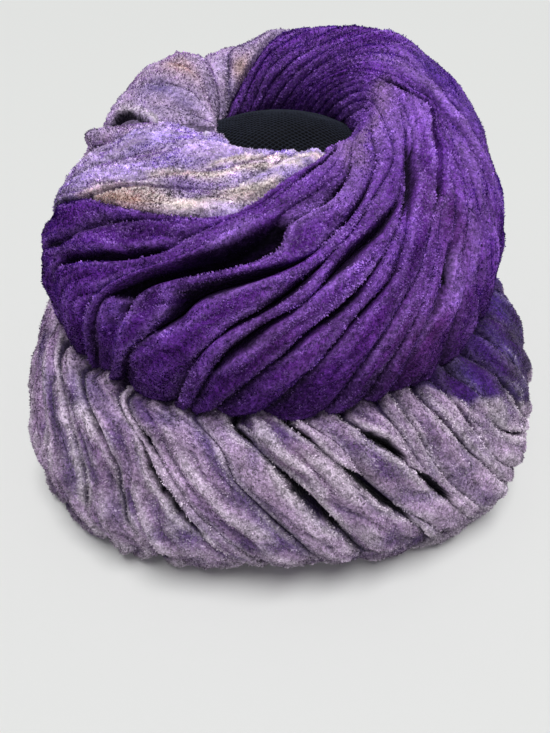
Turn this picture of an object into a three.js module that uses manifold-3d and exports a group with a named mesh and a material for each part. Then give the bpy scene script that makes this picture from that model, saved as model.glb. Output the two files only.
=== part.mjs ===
// Wound velour turban over a net cap: a full roll round the head and a twisted crown roll above it.
// Millimetres, +Z up. Origin: the middle of the resting rim, -Y is the front, +X the wearer's left.
import * as THREE from 'three';
import { mergeVertices } from 'three/addons/utils/BufferGeometryUtils.js';
import Module from 'manifold-3d';

const wasm = await Module();
wasm.setup();

// ---------- driving sizes ----------
const CAP_RADIUS = 93;          // outside of the net cap, a 57 cm head inside it
const CAP_WALL = 1.5;
const CAP_RIM_HEIGHT = 6;
const CAP_SHOULDER_HEIGHT = 85;
const CAP_TOP_HEIGHT = 168;
const TURNED_SIDES = 32;
const BRIM_TOP = 93;
const BRIM_REST = [6 / 12, 7 / 12];   // lifts between which the brim roll lies flat on the table
const CROWN_BASE = 94;          // the crown roll's foot, just clear of the brim roll
const CLEARANCE = 0.35;         // gap kept between pieces
const BAND_THICKNESS = 6;       // folded cloth of the two pale bands
const BAND_LEAST = 2;           // what is left of a band's thickness in its deepest crease
const BAND_SINK = 4;            // how far the crown roll is pressed in under the bands
const SEAT_MARGIN = 1.8;        // degrees by which its seat is wider than a band
const SEAT_STEP = 0.002;        // lift by which it is wider where the band's edge runs along the roll
const SEAT_REACH = 0.005;       // lift by which a band's seat is longer than the band at each end
const SEAT_HEADROOM = 3;
const BAND_INSET = 2.6;         // degrees between a band's edge and the crown's crease beside it
const END_LENGTH = 34;          // the rolled end of the cloth, poking out between the pale bands
const END_WIDTH = 13;
const END_THICKNESS = 11;
const END_AZIMUTH = -93;
const END_LIFT = 0.365;
const END_PITCH = 12;
const STEPS_UNDER_BANDS = 8;    // the crown roll has no folds under the bands
const FOLD_SAMPLES = [0, 0.25, 0.7];   // places across a fold at which it is sampled
const MIN_FOLD = 1.2;           // degrees, the narrowest that a dying fold gets
const HIDDEN_BEYOND = 0.06;     // lift past the last tabled one at which the folds are out of sight
const HIDDEN_BRIM_FOLDS = 10;   // folds of the brim roll round its back
const THIN_LIP_HOLES = [34, 44];      // hole radii between which the crown's lip goes from thin to full
const STEEPEST = 0.9;           // millimetres of crease depth for each degree of fold width

// ---------- sections round the head: azimuth 0 is the front, 90 is +X ----------
const BRIM_SECTIONS = [
  { azimuth: -150, belly: 144, foot: 124, height: 44 },
  { azimuth: -100, belly: 142, foot: 128, height: 42 },
  { azimuth: -75, belly: 147, foot: 137, height: 38 },
  { azimuth: -57, belly: 154, foot: 146, height: 33 },
  { azimuth: -42, belly: 154, foot: 143, height: 34 },
  { azimuth: -25, belly: 149, foot: 135, height: 38 },
  { azimuth: 0, belly: 144, foot: 123, height: 43 },
  { azimuth: 22, belly: 148, foot: 132, height: 39 },
  { azimuth: 42, belly: 152, foot: 139, height: 35 },
  { azimuth: 55, belly: 148, foot: 136, height: 37 },
  { azimuth: 70, belly: 142, foot: 131, height: 40 },
  { azimuth: 85, belly: 140, foot: 125, height: 43 },
  { azimuth: 100, belly: 142.5, foot: 123, height: 44 },
  { azimuth: 150, belly: 143, foot: 122, height: 45 },
];
const CROWN_SECTIONS = [
  { azimuth: -170, outer: 107, crest: 75, height: 184, hole: 51 },
  { azimuth: -158, outer: 107, crest: 74, height: 181, hole: 47 },
  { azimuth: -135, outer: 110, crest: 70, height: 185, hole: 40 },
  { azimuth: -112, outer: 106, crest: 62, height: 175, hole: 30 },
  { azimuth: -98, outer: 105, crest: 57, height: 172, hole: 28 },
  { azimuth: -85, outer: 109, crest: 51, height: 171, hole: 27 },
  { azimuth: -65, outer: 118, crest: 48, height: 172, hole: 26 },
  { azimuth: -30, outer: 116, crest: 43, height: 173, hole: 30 },
  { azimuth: 0, outer: 114, crest: 44, height: 173, hole: 33 },
  { azimuth: 30, outer: 114, crest: 46, height: 173, hole: 34 },
  { azimuth: 60, outer: 112, crest: 52, height: 176, hole: 36 },
  { azimuth: 90, outer: 111.5, crest: 61, height: 182, hole: 38 },
  { azimuth: 120, outer: 114, crest: 72, height: 187.5, hole: 42 },
  { azimuth: 150, outer: 114, crest: 77, height: 190, hole: 50 },
  { azimuth: 180, outer: 110, crest: 76, height: 189, hole: 54 },
];

// ---------- creases: the azimuth of each at fixed lifts round the section, and its depth ----------
const BRIM_LIFTS = [0.05, 0.10, 0.15, 0.20, 0.25, 0.30];
const BRIM_CREASES = [
  { name: 'left', deep: 7, at: [-75, -58, -47, -41, -40, -38] },
  { name: 'left_front', deep: 5, at: [-50, -38.5, -33, -31, -29.5, -27] },
  { name: 'long_slit', deep: 9, at: [-37, -29, -25, -20, -15, -11] },
  { name: 'ripple', deep: 4, at: [-35, -27.5, -21.5, -16.5, -10.5, -7.5] },
  { name: 'violet_streak', deep: 4, at: [-19, -12.5, -9.5, -4.5, 0.5, 4] },
  { name: 'front_slit', deep: 9, at: [-11, -6, -0.5, 4.5, 9.5, 12] },
  { name: 'serrated', deep: 9, at: [0.5, 6, 12, 17.5, 23.5, 26] },
  { name: 'branch', deep: 4, at: [4, 10, 13.5, 19, 25, 28] },
  { name: 'right_slit', deep: 9, at: [12.5, 17.5, 23, 28, 32.5, 35.5] },
  { name: 'fine', deep: 4, at: [21, 22.5, 25, 29.5, 34, 37] },
  { name: 'violet_nick', deep: 3, at: [24.5, 25.5, 27.5, 31, 35.5, 38.5] },
  { name: 'right_bend', deep: 6, at: [30, 31.5, 35.5, 40, 43.5, 47] },
  { name: 'under_tuck', deep: 4, at: [34.5, 36, 39, 42.5, 47.5, 51] },
  { name: 'tuck', deep: 6, at: [40, 41.5, 43.5, 49.5, 57, 60] },
  { name: 'dark_fold', deep: 6, at: [47, 48, 52, 55, 60, 64] },
  { name: 'dark_edge', deep: 4, at: [55, 55, 58, 62, 66, 70] },
  { name: 'notch', deep: 5, at: [63, 64, 67, 71, 75, 78] },
];
const CROWN_LIFTS = [0.06, 0.14, 0.22, 0.26, 0.30, 0.32, 0.34, 0.36, 0.38, 0.40, 0.45, 0.52, 0.60, 0.68];
const CROWN_CREASES = [
  { name: 'pale_edge', deep: 5, at: [-83, -82, -80, -75, -64, -57, -18, -7.5, -1.5, 4, 26, 34, 39, 43] },
  { name: 'lobe', deep: 6, at: [-74, -71, -66.5, -58, -50, -42, -16, -5.5, 0.5, 7, 28, 36, 41, 45] },
  { name: 'first_gap', deep: 9, at: [-64, -61, -57.5, -48, -27.5, -21.5, -14, -4, 2.5, 9, 30, 38, 43, 48] },
  { name: 'pocket_top', deep: 9, at: [-48.5, -45.5, -41, -34.5, -21, -15, -8, 1, 10, 18, 35, 52, 86, 114] },
  { name: 'tip', deep: 5, low: 7, at: [-47, -44, -39.5, -33, -19, -10.5, -2.5, 4, 14, 24, 38, 55, 89, 117] },
  { name: 'pocket_foot', deep: 8, at: [-43, -36.5, -33.5, -28, -4, 0.5, 2, 13, 21, 28, 40, 58, 92, 120] },
  { name: 'long_gap', deep: 9, at: [-39.5, -34, -23, -17, 6, 12, 19, 26, 33, 40, 52, 72, 112, 140] },
  { name: 'double', deep: 4, at: [-24.5, -19, -10.5, 1, 11.5, 17.5, 23.5, 31, 41, 49, 62, 82, 122, 148] },
  { name: 'deep_front', deep: 8, at: [-21, -15, -4.5, 6.5, 17.5, 25, 33.5, 40.5, 47, 53, 69, 90, 131, 154] },
  { name: 'middle', deep: 6, at: [-16.5, -5.5, 7, 17, 26.5, 31.5, 37, 43, 49.5, 56, 74, 97, 138, 160] },
  { name: 'branch', deep: 4, at: [-6, 4, 14, 23.5, 30, 33.5, 39, 45.5, 52, 60, 78, 101, 144, 165] },
  { name: 'overlap', deep: 7, at: [8, 15.5, 24, 31, 39, 45, 52.5, 62, 69, 80, 86, 104, 149, 170] },
  { name: 'pleat_1', deep: 4, at: [17, 22.5, 30, 35.5, 42, 47.5, 54, 63.5, 70.5, 82, 88, 107, 151, 172] },
  { name: 'pleat_2', deep: 5, at: [22, 26.5, 35.5, 41, 50, 53, 57, 65.5, 72, 83, 90, 109, 152, 173] },
  { name: 'pleat_3', deep: 4, at: [38, 40, 44, 48, 55, 58, 62, 68, 74.5, 85, 93, 112, 154, 175] },
  { name: 'pleat_4', deep: 4, at: [52, 52.5, 53.5, 55.5, 60, 62.5, 66, 71, 77, 87, 96, 116, 155, 176] },
  { name: 'right_side', deep: 5, at: [62, 63, 64, 66.5, 69, 71.5, 74.5, 78, 82, 89, 100, 121, 157, 178] },
  { name: 'right_back', deep: 5, at: [74, 75, 76, 77.5, 80.5, 83, 86, 90, 93.5, 97, 108, 129, 158, 179] },
  { name: 'back', deep: 5, at: [102, 103, 105, 107, 110, 112, 115, 118, 122, 125, 134, 146, 171, 188] },
  { name: 'back_edge', deep: 5, at: [150, 151, 152, 154, 156, 157, 159, 161, 163, 166, 174, 182, 206, 215] },
];
// the front band's rows lie close together where its edge runs on along the roll
const FRONT_BAND_LIFTS = [
  0.25, 0.29, 0.315, 0.323, 0.329, 0.334, 0.34, 0.35, 0.36, 0.368, 0.376, 0.39, 0.42, 0.47, 0.52, 0.57, 0.62,
];
const FRONT_BAND_CREASES = [
  { name: 'band_split', deep: 3, at: [-81, -81, -81, -81, -80, -81, -82, -84, -87, -90, -95, -98, -85, -75] },
  { name: 'broad_dip', deep: 2, at: [-80, -80, -80, -78, -75, -72, -70, -67, -64, -62, -58, -50, -45, -40] },
  { name: 'nap_edge', deep: 2, at: [-79, -79, -79, -76, -67, -61, -56.5, -48.5, -43, -29, -5, 8, 14, 18] },
  { name: 'hollow', deep: 4, at: [-78, -78, -78, -75, -65, -58.5, -54, -46, -17, -11, 6, 18, 24, 28] },
  { name: 'pale_edge', deep: 2.5, at: [-76, -76, -76, -74, -64, -57, -18, -7.5, -1.5, 4, 26, 34, 39, 43] },
];
const BACK_BAND_CREASES = [
  { name: 'back_edge', deep: 2.5, at: [150, 151, 152, 154, 156, 157, 159, 161, 163, 166, 174, 182, 206, 215] },
  { name: 'dip', deep: 7, at: [172, 174, 177, 179, 182, 183, 185, 187, 189, 191, 197, 202, 211, 222] },
  { name: 'fan_1', deep: 4, at: [190, 192, 195, 197, 199, 200, 202, 203, 205, 206, 209, 212, 218, 232] },
  { name: 'fan_2', deep: 5, at: [208, 211, 216, 219, 222, 223, 224, 225, 226, 226, 226, 225, 229, 243] },
  { name: 'fan_3', deep: 4, at: [224, 226, 230, 232, 234, 236, 237, 238, 239, 239, 239, 237, 242, 255] },
  { name: 'fan_4', deep: 5, at: [243, 244, 247, 249, 251, 252, 253, 254, 255, 255, 253, 249, 256, 268] },
  { name: 'band_split', deep: 3, at: [279, 279, 279, 279, 280, 279, 278, 276, 273, 270, 265, 263, 275, 285] },
];

// ---------- curves ----------
// Smooth curve through (x, y) pairs, with x rising; straight on past both ends.
function smoothThrough(xs, ys, x) {
  const last = xs.length - 1;
  const slope = (i) => {
    const before = Math.max(0, i - 1);
    const after = Math.min(last, i + 1);
    return (ys[after] - ys[before]) / (xs[after] - xs[before]);
  };
  if (x <= xs[0]) return ys[0] + (x - xs[0]) * slope(0);
  if (x >= xs[last]) return ys[last] + (x - xs[last]) * slope(last);
  let i = 0;
  while (x > xs[i + 1]) i += 1;
  const step = xs[i + 1] - xs[i];
  const h = (x - xs[i]) / step;
  const rise = ys[i + 1] - ys[i];
  // slopes are held down to three times the chord, so that a crease never turns back on itself
  const held = (m) => (rise === 0 ? 0 : Math.max(0, Math.min(3, (m * step) / rise)) * rise);
  const blend = h * h * (3 - 2 * h);
  return ys[i] + rise * blend + held(slope(i)) * h * (1 - h) ** 2 - held(slope(i + 1)) * h * h * (1 - h);
}

// Value of one column of a table of sections at any azimuth, smooth and closed round the head.
function roundTheHead(sections, column, azimuth) {
  const turns = [-360, 0, 360];
  const xs = turns.flatMap((turn) => sections.map((row) => row.azimuth + turn));
  const ys = turns.flatMap(() => sections.map((row) => row[column]));
  const wrapped = ((((azimuth + 180) % 360) + 360) % 360) - 180;
  return smoothThrough(xs, ys, wrapped);
}

// Point on a closed Catmull-Rom loop through stations, t from 0 to 1.
function onLoop(stations, t) {
  const n = stations.length;
  const place = (((t % 1) + 1) % 1) * n;
  const i = Math.floor(place);
  const w = place - i;
  const p = [-1, 0, 1, 2].map((k) => stations[(i + k + n) % n]);
  return [0, 1].map((k) => 0.5 * (2 * p[1][k] + (p[2][k] - p[0][k]) * w
    + (2 * p[0][k] - 5 * p[1][k] + 4 * p[2][k] - p[3][k]) * w * w
    + (3 * p[1][k] - p[0][k] - 3 * p[2][k] + p[3][k]) * w * w * w));
}

function capHeightAt(radius) {
  const share = Math.min(1, radius / CAP_RADIUS);
  const rise = CAP_TOP_HEIGHT - CAP_SHOULDER_HEIGHT;
  return CAP_SHOULDER_HEIGHT + rise * Math.sqrt(1 - share * share);
}

// Section of the brim roll, [radius, height] from its top over the outside, under and up the inside.
function brimSection(azimuth) {
  const belly = roundTheHead(BRIM_SECTIONS, 'belly', azimuth);
  const foot = roundTheHead(BRIM_SECTIONS, 'foot', azimuth);
  const height = roundTheHead(BRIM_SECTIONS, 'height', azimuth);
  return [
    [104, BRIM_TOP], [belly - 23, BRIM_TOP - 5], [belly - 9, height + 29], [belly, height + 3],
    [belly - 1, height * 0.45 + 5], [foot + 8, 6], [foot - 8, 0], [106, 0],
    [97, 12], [95, 40], [95, 66], [97, 85],
  ];
}

// Section of the crown roll, from its foot up the outside, over the crest and down into the hole.
function crownSection(azimuth) {
  const outer = roundTheHead(CROWN_SECTIONS, 'outer', azimuth);
  const crest = roundTheHead(CROWN_SECTIONS, 'crest', azimuth);
  const height = roundTheHead(CROWN_SECTIONS, 'height', azimuth);
  const hole = roundTheHead(CROWN_SECTIONS, 'hole', azimuth);
  const rise = height - CROWN_BASE;
  return [
    [outer - 8, CROWN_BASE],
    [outer - 1, CROWN_BASE + 5],
    [outer, CROWN_BASE + 0.35 * rise],
    [outer - 6, CROWN_BASE + 0.59 * rise],
    [outer * 0.68 + crest * 0.32, CROWN_BASE + 0.83 * rise],
    [outer * 0.30 + crest * 0.70, CROWN_BASE + 0.962 * rise],
    [crest * 0.9 + hole * 0.1, height],
    [hole * 0.7 + crest * 0.3, height - 5],
    [hole, Math.max(height - 0.24 * rise, capHeightAt(hole) + 3)],
    [hole + 7, Math.max(CROWN_BASE + 0.45 * rise, capHeightAt(hole + 7) - 6)],
    [74, capHeightAt(74) - 8],
    [84, capHeightAt(84) - 8],
    [97, CROWN_BASE + 3],
  ];
}

// Point at azimuth and lift, moved out along the section's normal.
function pointOn(section, azimuth, lift, out) {
  const stations = section(azimuth);
  const [radius, height] = onLoop(stations, lift);
  const before = onLoop(stations, lift - 0.01);
  const after = onLoop(stations, lift + 0.01);
  const along = [after[0] - before[0], after[1] - before[1]];
  const length = Math.hypot(along[0], along[1]);
  const turn = section === brimSection ? -1 : 1;
  const r = radius + (turn * out * along[1]) / length;
  const z = height - (turn * out * along[0]) / length;
  const a = THREE.MathUtils.degToRad(azimuth);
  return new THREE.Vector3(r * Math.sin(a), -r * Math.cos(a), z);
}

// How much of their depth the crown's folds keep: they flatten where they turn under into the hole,
// and sooner at the front, where the lip is thin.
function foldsKept(azimuth, lift) {
  const { smoothstep } = THREE.MathUtils;
  const hole = roundTheHead(CROWN_SECTIONS, 'hole', azimuth);
  const thin = 1 - smoothstep(hole, ...THIN_LIP_HOLES);
  return (1 - smoothstep(lift, 0.66, 0.76)) * (1 - thin * smoothstep(lift, 0.44, 0.56));
}

// Point under the crown roll's surface, straight towards the middle of its section.
function underCrown(azimuth, lift, by) {
  const a = THREE.MathUtils.degToRad(azimuth);
  const outer = roundTheHead(CROWN_SECTIONS, 'outer', azimuth);
  const hole = roundTheHead(CROWN_SECTIONS, 'hole', azimuth);
  const height = roundTheHead(CROWN_SECTIONS, 'height', azimuth);
  const radius = (outer + hole) / 2;
  const core = new THREE.Vector3(radius * Math.sin(a), -radius * Math.cos(a), (CROWN_BASE + height) / 2);
  const surface = pointOn(crownSection, azimuth, lift, 0);
  return surface.addScaledVector(core.sub(surface).normalize(), by);
}

// ---------- folds ----------
// Repeatable number from -1 to 1 for the unevenness of the hidden folds.
function uneven(seed) {
  const value = Math.sin(seed * 12.9898) * 43758.5453;
  return 2 * (value - Math.floor(value)) - 1;
}

// Creases between two known ones, spread evenly with a little unevenness.
function creasesBetween(first, last, count) {
  return Array.from({ length: count }, (_, i) => {
    const share = (i + 1 + 0.25 * uneven(i + first.at[0])) / (count + 1);
    const at = first.at.map((azimuth, k) => azimuth + (last.at[k] - azimuth) * share);
    return { name: `hidden_${i}`, deep: 5 + 1.5 * uneven(i + 7), at };
  });
}

// Azimuth of each crease at one lift. Past the tabled lifts the folds are out of sight, and there they
// unwind again, so that the round of the section closes on itself.
function azimuthsAt(creases, lifts, lift) {
  const [lowest, highest] = [lifts[0], lifts.at(-1) + HIDDEN_BEYOND];
  const at = (height) => {
    const found = creases.map((crease) => smoothThrough(lifts, crease.at, height));
    for (let i = 1; i < found.length; i += 1) found[i] = Math.max(found[i], found[i - 1] + MIN_FOLD);
    return found;
  };
  if (lift <= highest) return at(Math.max(lift, lowest));
  const share = (lift - highest) / (1 - highest);
  const [top, foot] = [at(highest), at(lowest)];
  return top.map((azimuth, i) => azimuth + (foot[i] - azimuth) * share);
}

// Depth below the full form across one fold: share 0 and 1 are its two creases, and low is how far
// the ridge of a sunken fold lies down. A fold that dies away gets shallow with its width.
function foldDepth(left, right, share, width) {
  const most = STEEPEST * width;
  const deep = Math.min(share < 0.5 ? left.deep : right.deep, most);
  const low = Math.min(left.low ?? 0, most);
  const top = Math.sin(Math.PI * share) ** 0.6;
  return deep + (low - deep) * top;
}

// Samples across a run of folds at one lift: azimuth and depth of each.
function foldSamples(creases, lifts, lift) {
  const azimuths = azimuthsAt(creases, lifts, lift);
  const samples = [];
  for (let i = 0; i + 1 < creases.length; i += 1) {
    const width = azimuths[i + 1] - azimuths[i];
    for (const share of FOLD_SAMPLES) {
      const depth = foldDepth(creases[i], creases[i + 1], share, width);
      samples.push({ azimuth: azimuths[i] + width * share, depth });
    }
  }
  samples.push({ azimuth: azimuths.at(-1), depth: creases.at(-1).deep });
  return samples;
}

// ---------- meshes ----------
function meshFrom(points, quads) {
  const geometry = new THREE.BufferGeometry();
  geometry.setAttribute('position', new THREE.Float32BufferAttribute(points.flatMap((p) => p.toArray()), 3));
  geometry.setIndex(quads.flatMap(([a, b, c, d]) => [a, b, c, a, c, d]));
  return facingOut(mergeVertices(geometry, 1e-3));
}

function signedVolume(geometry) {
  const position = geometry.attributes.position;
  const index = geometry.index.array;
  const [a, b, c] = [new THREE.Vector3(), new THREE.Vector3(), new THREE.Vector3()];
  let sum = 0;
  for (let i = 0; i < index.length; i += 3) {
    a.fromBufferAttribute(position, index[i]);
    b.fromBufferAttribute(position, index[i + 1]);
    c.fromBufferAttribute(position, index[i + 2]);
    sum += a.dot(b.cross(c)) / 6;
  }
  return sum;
}

function facingOut(geometry) {
  if (signedVolume(geometry) < 0) {
    const index = geometry.index.array;
    for (let i = 0; i < index.length; i += 3) [index[i + 1], index[i + 2]] = [index[i + 2], index[i + 1]];
  }
  return geometry;
}

// Closed ring: rows of points, each row closed on itself, the last row joined to the first.
function ringMesh(rows) {
  const across = rows[0].length;
  const quads = [];
  for (let j = 0; j < rows.length; j += 1) {
    const next = (j + 1) % rows.length;
    for (let i = 0; i < across; i += 1) {
      const k = (i + 1) % across;
      quads.push([j * across + i, j * across + k, next * across + k, next * across + i]);
    }
  }
  return meshFrom(rows.flat(), quads);
}

// Closed slab between an outer and an inner sheet of points of the same layout.
function slabMesh(outer, inner) {
  const across = outer[0].length;
  const total = outer.length * across;
  const quads = [];
  const wall = (a, b) => quads.push([a, b, total + b, total + a]);
  for (let j = 0; j + 1 < outer.length; j += 1) {
    for (let i = 0; i + 1 < across; i += 1) {
      const corner = j * across + i;
      quads.push([corner, corner + across, corner + across + 1, corner + 1]);
      quads.push([total + corner, total + corner + 1, total + corner + across + 1, total + corner + across]);
    }
    wall((j + 1) * across, j * across);
    wall(j * across + across - 1, (j + 1) * across + across - 1);
  }
  for (let i = 0; i + 1 < across; i += 1) {
    wall(i, i + 1);
    wall(total - across + i + 1, total - across + i);
  }
  return meshFrom([...outer.flat(), ...inner.flat()], quads);
}

// ---------- joining and cutting ----------
function toSolid(geometry) {
  const mesh = new wasm.Mesh({
    numProp: 3,
    vertProperties: new Float32Array(geometry.attributes.position.array),
    triVerts: new Uint32Array(geometry.index.array),
  });
  return new wasm.Manifold(mesh);
}

function fromSolid(solid) {
  const mesh = solid.getMesh();
  const geometry = new THREE.BufferGeometry();
  geometry.setAttribute('position', new THREE.BufferAttribute(new Float32Array(mesh.vertProperties), 3));
  geometry.setIndex(new THREE.BufferAttribute(new Uint32Array(mesh.triVerts), 1));
  return geometry;
}

// The same closed form grown along its normals.
function grown(geometry) {
  const copy = geometry.clone();
  copy.computeVertexNormals();
  const position = copy.attributes.position;
  const normal = copy.attributes.normal;
  for (let i = 0; i < position.count; i += 1) {
    position.setXYZ(
      i,
      position.getX(i) + CLEARANCE * normal.getX(i),
      position.getY(i) + CLEARANCE * normal.getY(i),
      position.getZ(i) + CLEARANCE * normal.getZ(i),
    );
  }
  copy.deleteAttribute('normal');
  return copy;
}

// A form less its cutters; of what is left only the largest body is kept, without cut-off crumbs.
function cutBy(geometry, cutters) {
  const cut = cutters.reduce((solid, cutter) => solid.subtract(toSolid(cutter)), toSolid(geometry));
  const bodies = cut.decompose().sort((a, b) => b.volume() - a.volume());
  return fromSolid(bodies[0]);
}

// ---------- pieces ----------
function range(from, to, count) {
  return Array.from({ length: count }, (_, i) => from + ((to - from) * i) / (count - 1));
}

function shifted(crease, by) {
  return { ...crease, at: crease.at.map((azimuth) => azimuth + by) };
}

function brimRoll() {
  const next = shifted(BRIM_CREASES[0], 360);
  const around = [...BRIM_CREASES, ...creasesBetween(BRIM_CREASES.at(-1), next, HIDDEN_BRIM_FOLDS)];
  const lifts = [...range(0, 0.28, 8), 0.34, 0.41, ...BRIM_REST, 0.72, 0.88];
  const rows = lifts.map((lift) => {
    const samples = foldSamples([...around, next], BRIM_LIFTS, lift).slice(0, -1);
    const fade = THREE.MathUtils.smoothstep(lift, -0.02, 0.05) - THREE.MathUtils.smoothstep(lift, 0.36, 0.45);
    return samples.map(({ azimuth, depth }) => {
      const point = pointOn(brimSection, azimuth, lift, -depth * fade);
      point.z = Math.max(0, point.z);
      return point;
    });
  });
  return ringMesh(rows);
}

function crownRoll() {
  const [edge, back] = [CROWN_CREASES.at(-1), CROWN_CREASES.at(-2)];
  const rightBack = CROWN_CREASES.at(-3);
  const folds = [
    ...CROWN_CREASES.slice(0, -2),
    ...creasesBetween(rightBack, back, 1),
    back,
    ...creasesBetween(back, edge, 3),
    edge,
  ];
  const lifts = [...range(0, 0.32, 6), 0.335, 0.35, ...range(0.40, 0.70, 4), 0.8, 0.9];
  const rows = lifts.map((lift) => {
    const samples = foldSamples(folds, CROWN_LIFTS, lift);
    const start = samples.at(-1).azimuth;
    const end = samples[0].azimuth + 360;
    for (let i = 1; i < STEPS_UNDER_BANDS; i += 1) {
      samples.push({ azimuth: start + ((end - start) * i) / STEPS_UNDER_BANDS, depth: BAND_SINK });
    }
    return samples.map(({ azimuth, depth }) => (
      pointOn(crownSection, azimuth, lift, -depth * foldsKept(azimuth, lift))));
  });
  return ringMesh(rows);
}

// A pale band: a slab of folds between two creases of the crown roll, a little inside both.
// The same slab with a margin all round it is the seat that is cut for it.
function paleBand({ creases, lifts }, seat = false) {
  const [first, last] = [shifted(creases[0], BAND_INSET), shifted(creases.at(-1), -BAND_INSET)];
  const folds = [first, ...creases.slice(1, -1), last];
  const rows = seat ? [lifts[0] - SEAT_REACH, ...lifts, lifts.at(-1) + SEAT_REACH] : lifts;
  const edgeAt = (lift) => foldSamples(folds, CROWN_LIFTS, lift).at(-1).azimuth;
  const margined = (samples, lift) => {
    const run = edgeAt(lift + SEAT_STEP) - edgeAt(lift);
    return [
      { ...samples[0], azimuth: samples[0].azimuth - SEAT_MARGIN },
      ...samples,
      { ...samples.at(-1), azimuth: samples.at(-1).azimuth + SEAT_MARGIN + run },
    ];
  };
  const sheet = (pointAt) => rows.map((lift) => {
    const samples = foldSamples(folds, CROWN_LIFTS, lift);
    const across = seat ? margined(samples, lift) : samples;
    return across.map(({ azimuth, depth }) => pointAt(azimuth, lift, depth));
  });
  const under = seat ? BAND_THICKNESS + CLEARANCE : BAND_THICKNESS;
  const most = BAND_THICKNESS - BAND_LEAST;
  return slabMesh(
    sheet((azimuth, lift, depth) => underCrown(azimuth, lift, seat ? -SEAT_HEADROOM : Math.min(depth, most))),
    sheet((azimuth, lift) => underCrown(azimuth, lift, under)),
  );
}

function tuckedEnd() {
  const end = new THREE.SphereGeometry(1, 14, 9);
  end.deleteAttribute('normal');
  end.deleteAttribute('uv');
  end.scale(END_LENGTH / 2, END_WIDTH / 2, END_THICKNESS / 2);
  end.rotateY(THREE.MathUtils.degToRad(END_PITCH));
  end.rotateZ(THREE.MathUtils.degToRad(END_AZIMUTH - 90));
  const seat = pointOn(crownSection, END_AZIMUTH, END_LIFT, END_THICKNESS / 4);
  end.translate(seat.x, seat.y, seat.z);
  return facingOut(mergeVertices(end, 1e-3));
}

// Lathe profile of the cap, from the rim up to the top; the wall is left out when filled.
function capProfile(radius, top, rim) {
  const steps = 8;
  const points = [[radius, rim], [radius, (rim + CAP_SHOULDER_HEIGHT) / 2]];
  for (let i = 0; i <= steps; i += 1) {
    const a = (i / steps) * (Math.PI / 2);
    points.push([radius * Math.cos(a), CAP_SHOULDER_HEIGHT + (top - CAP_SHOULDER_HEIGHT) * Math.sin(a)]);
  }
  points.at(-1)[0] = 0;
  return points.map(([r, z]) => new THREE.Vector2(r, z));
}

function turned(profile) {
  const lathe = new THREE.LatheGeometry(profile, TURNED_SIDES);
  lathe.deleteAttribute('normal');
  lathe.deleteAttribute('uv');
  lathe.rotateX(Math.PI / 2);
  return facingOut(mergeVertices(lathe, 1e-3));
}

function netCap() {
  const outside = capProfile(CAP_RADIUS, CAP_TOP_HEIGHT, CAP_RIM_HEIGHT);
  const inside = capProfile(CAP_RADIUS - CAP_WALL, CAP_TOP_HEIGHT - CAP_WALL, CAP_RIM_HEIGHT).reverse();
  return turned([...inside, ...outside]);
}

// The cap filled in and grown by the clearance: what the rolls are cut by.
function headForm() {
  const profile = capProfile(CAP_RADIUS + CLEARANCE, CAP_TOP_HEIGHT + CLEARANCE, -10);
  return turned([new THREE.Vector2(0, -10), ...profile]);
}

const COLOURS = { pale: 0x8f7c98, dark: 0x43206b, net: 0x14141a };

function piece(name, geometry, colour, roughness) {
  const material = new THREE.MeshStandardMaterial({ color: colour, roughness, metalness: 0 });
  const mesh = new THREE.Mesh(geometry, material);
  mesh.name = name;
  return mesh;
}

const head = headForm();
const front = { creases: FRONT_BAND_CREASES, lifts: FRONT_BAND_LIFTS };
const back = { creases: BACK_BAND_CREASES, lifts: range(0.06, 0.64, 10) };
const frontBand = cutBy(paleBand(front), [head]);
const backBand = cutBy(paleBand(back), [head, paleBand(front, true)]);
const crown = cutBy(crownRoll(), [head, paleBand(front, true), paleBand(back, true)]);
const neighbours = [frontBand, backBand, crown];
const end = cutBy(tuckedEnd(), [...neighbours, ...neighbours.map((neighbour) => grown(neighbour))]);
const brim = brimRoll();

const turban = new THREE.Group();
turban.add(
  piece('brim_roll', brim, COLOURS.pale, 0.9),
  piece('crown_roll', crown, COLOURS.dark, 0.9),
  piece('front_band', frontBand, COLOURS.pale, 0.9),
  piece('back_band', backBand, COLOURS.pale, 0.9),
  piece('tucked_end', end, COLOURS.pale, 0.9),
  piece('net_cap', netCap(), COLOURS.net, 0.8),
);
export default turban;
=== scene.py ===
"""A wound velour turban: padded lower roll, twisted crown roll, two pale bands, rolled end and net cap.

Tables are in millimetres and degrees. Azimuth 0 is the front, 90 is +X; lift runs round a roll's section.
"""

import math
from collections import namedtuple

import bmesh
import bpy
import numpy as np
from mathutils import Matrix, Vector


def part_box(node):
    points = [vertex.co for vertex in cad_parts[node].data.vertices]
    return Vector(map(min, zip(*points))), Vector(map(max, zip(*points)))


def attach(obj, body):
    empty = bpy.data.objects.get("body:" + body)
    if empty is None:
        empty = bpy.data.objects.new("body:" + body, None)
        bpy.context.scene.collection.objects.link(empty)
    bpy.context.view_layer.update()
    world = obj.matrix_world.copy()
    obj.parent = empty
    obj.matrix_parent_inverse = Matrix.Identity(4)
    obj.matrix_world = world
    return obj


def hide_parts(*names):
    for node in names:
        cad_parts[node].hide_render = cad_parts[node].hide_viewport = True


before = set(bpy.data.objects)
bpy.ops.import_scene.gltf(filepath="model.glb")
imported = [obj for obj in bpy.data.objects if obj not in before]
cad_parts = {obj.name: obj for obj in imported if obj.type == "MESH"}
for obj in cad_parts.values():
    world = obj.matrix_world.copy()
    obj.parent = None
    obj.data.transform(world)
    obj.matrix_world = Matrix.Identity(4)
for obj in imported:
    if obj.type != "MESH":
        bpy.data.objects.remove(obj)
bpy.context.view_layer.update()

MM = 0.001
CAP_RADIUS = 93.0
CAP_SHOULDER = 85.0
CAP_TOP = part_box("net_cap")[1][2] / MM
BRIM_TOP = 95.0
THIN_LIP_HOLES = (34, 44)       # hole radii between which the crown's lip goes from thin to full
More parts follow.
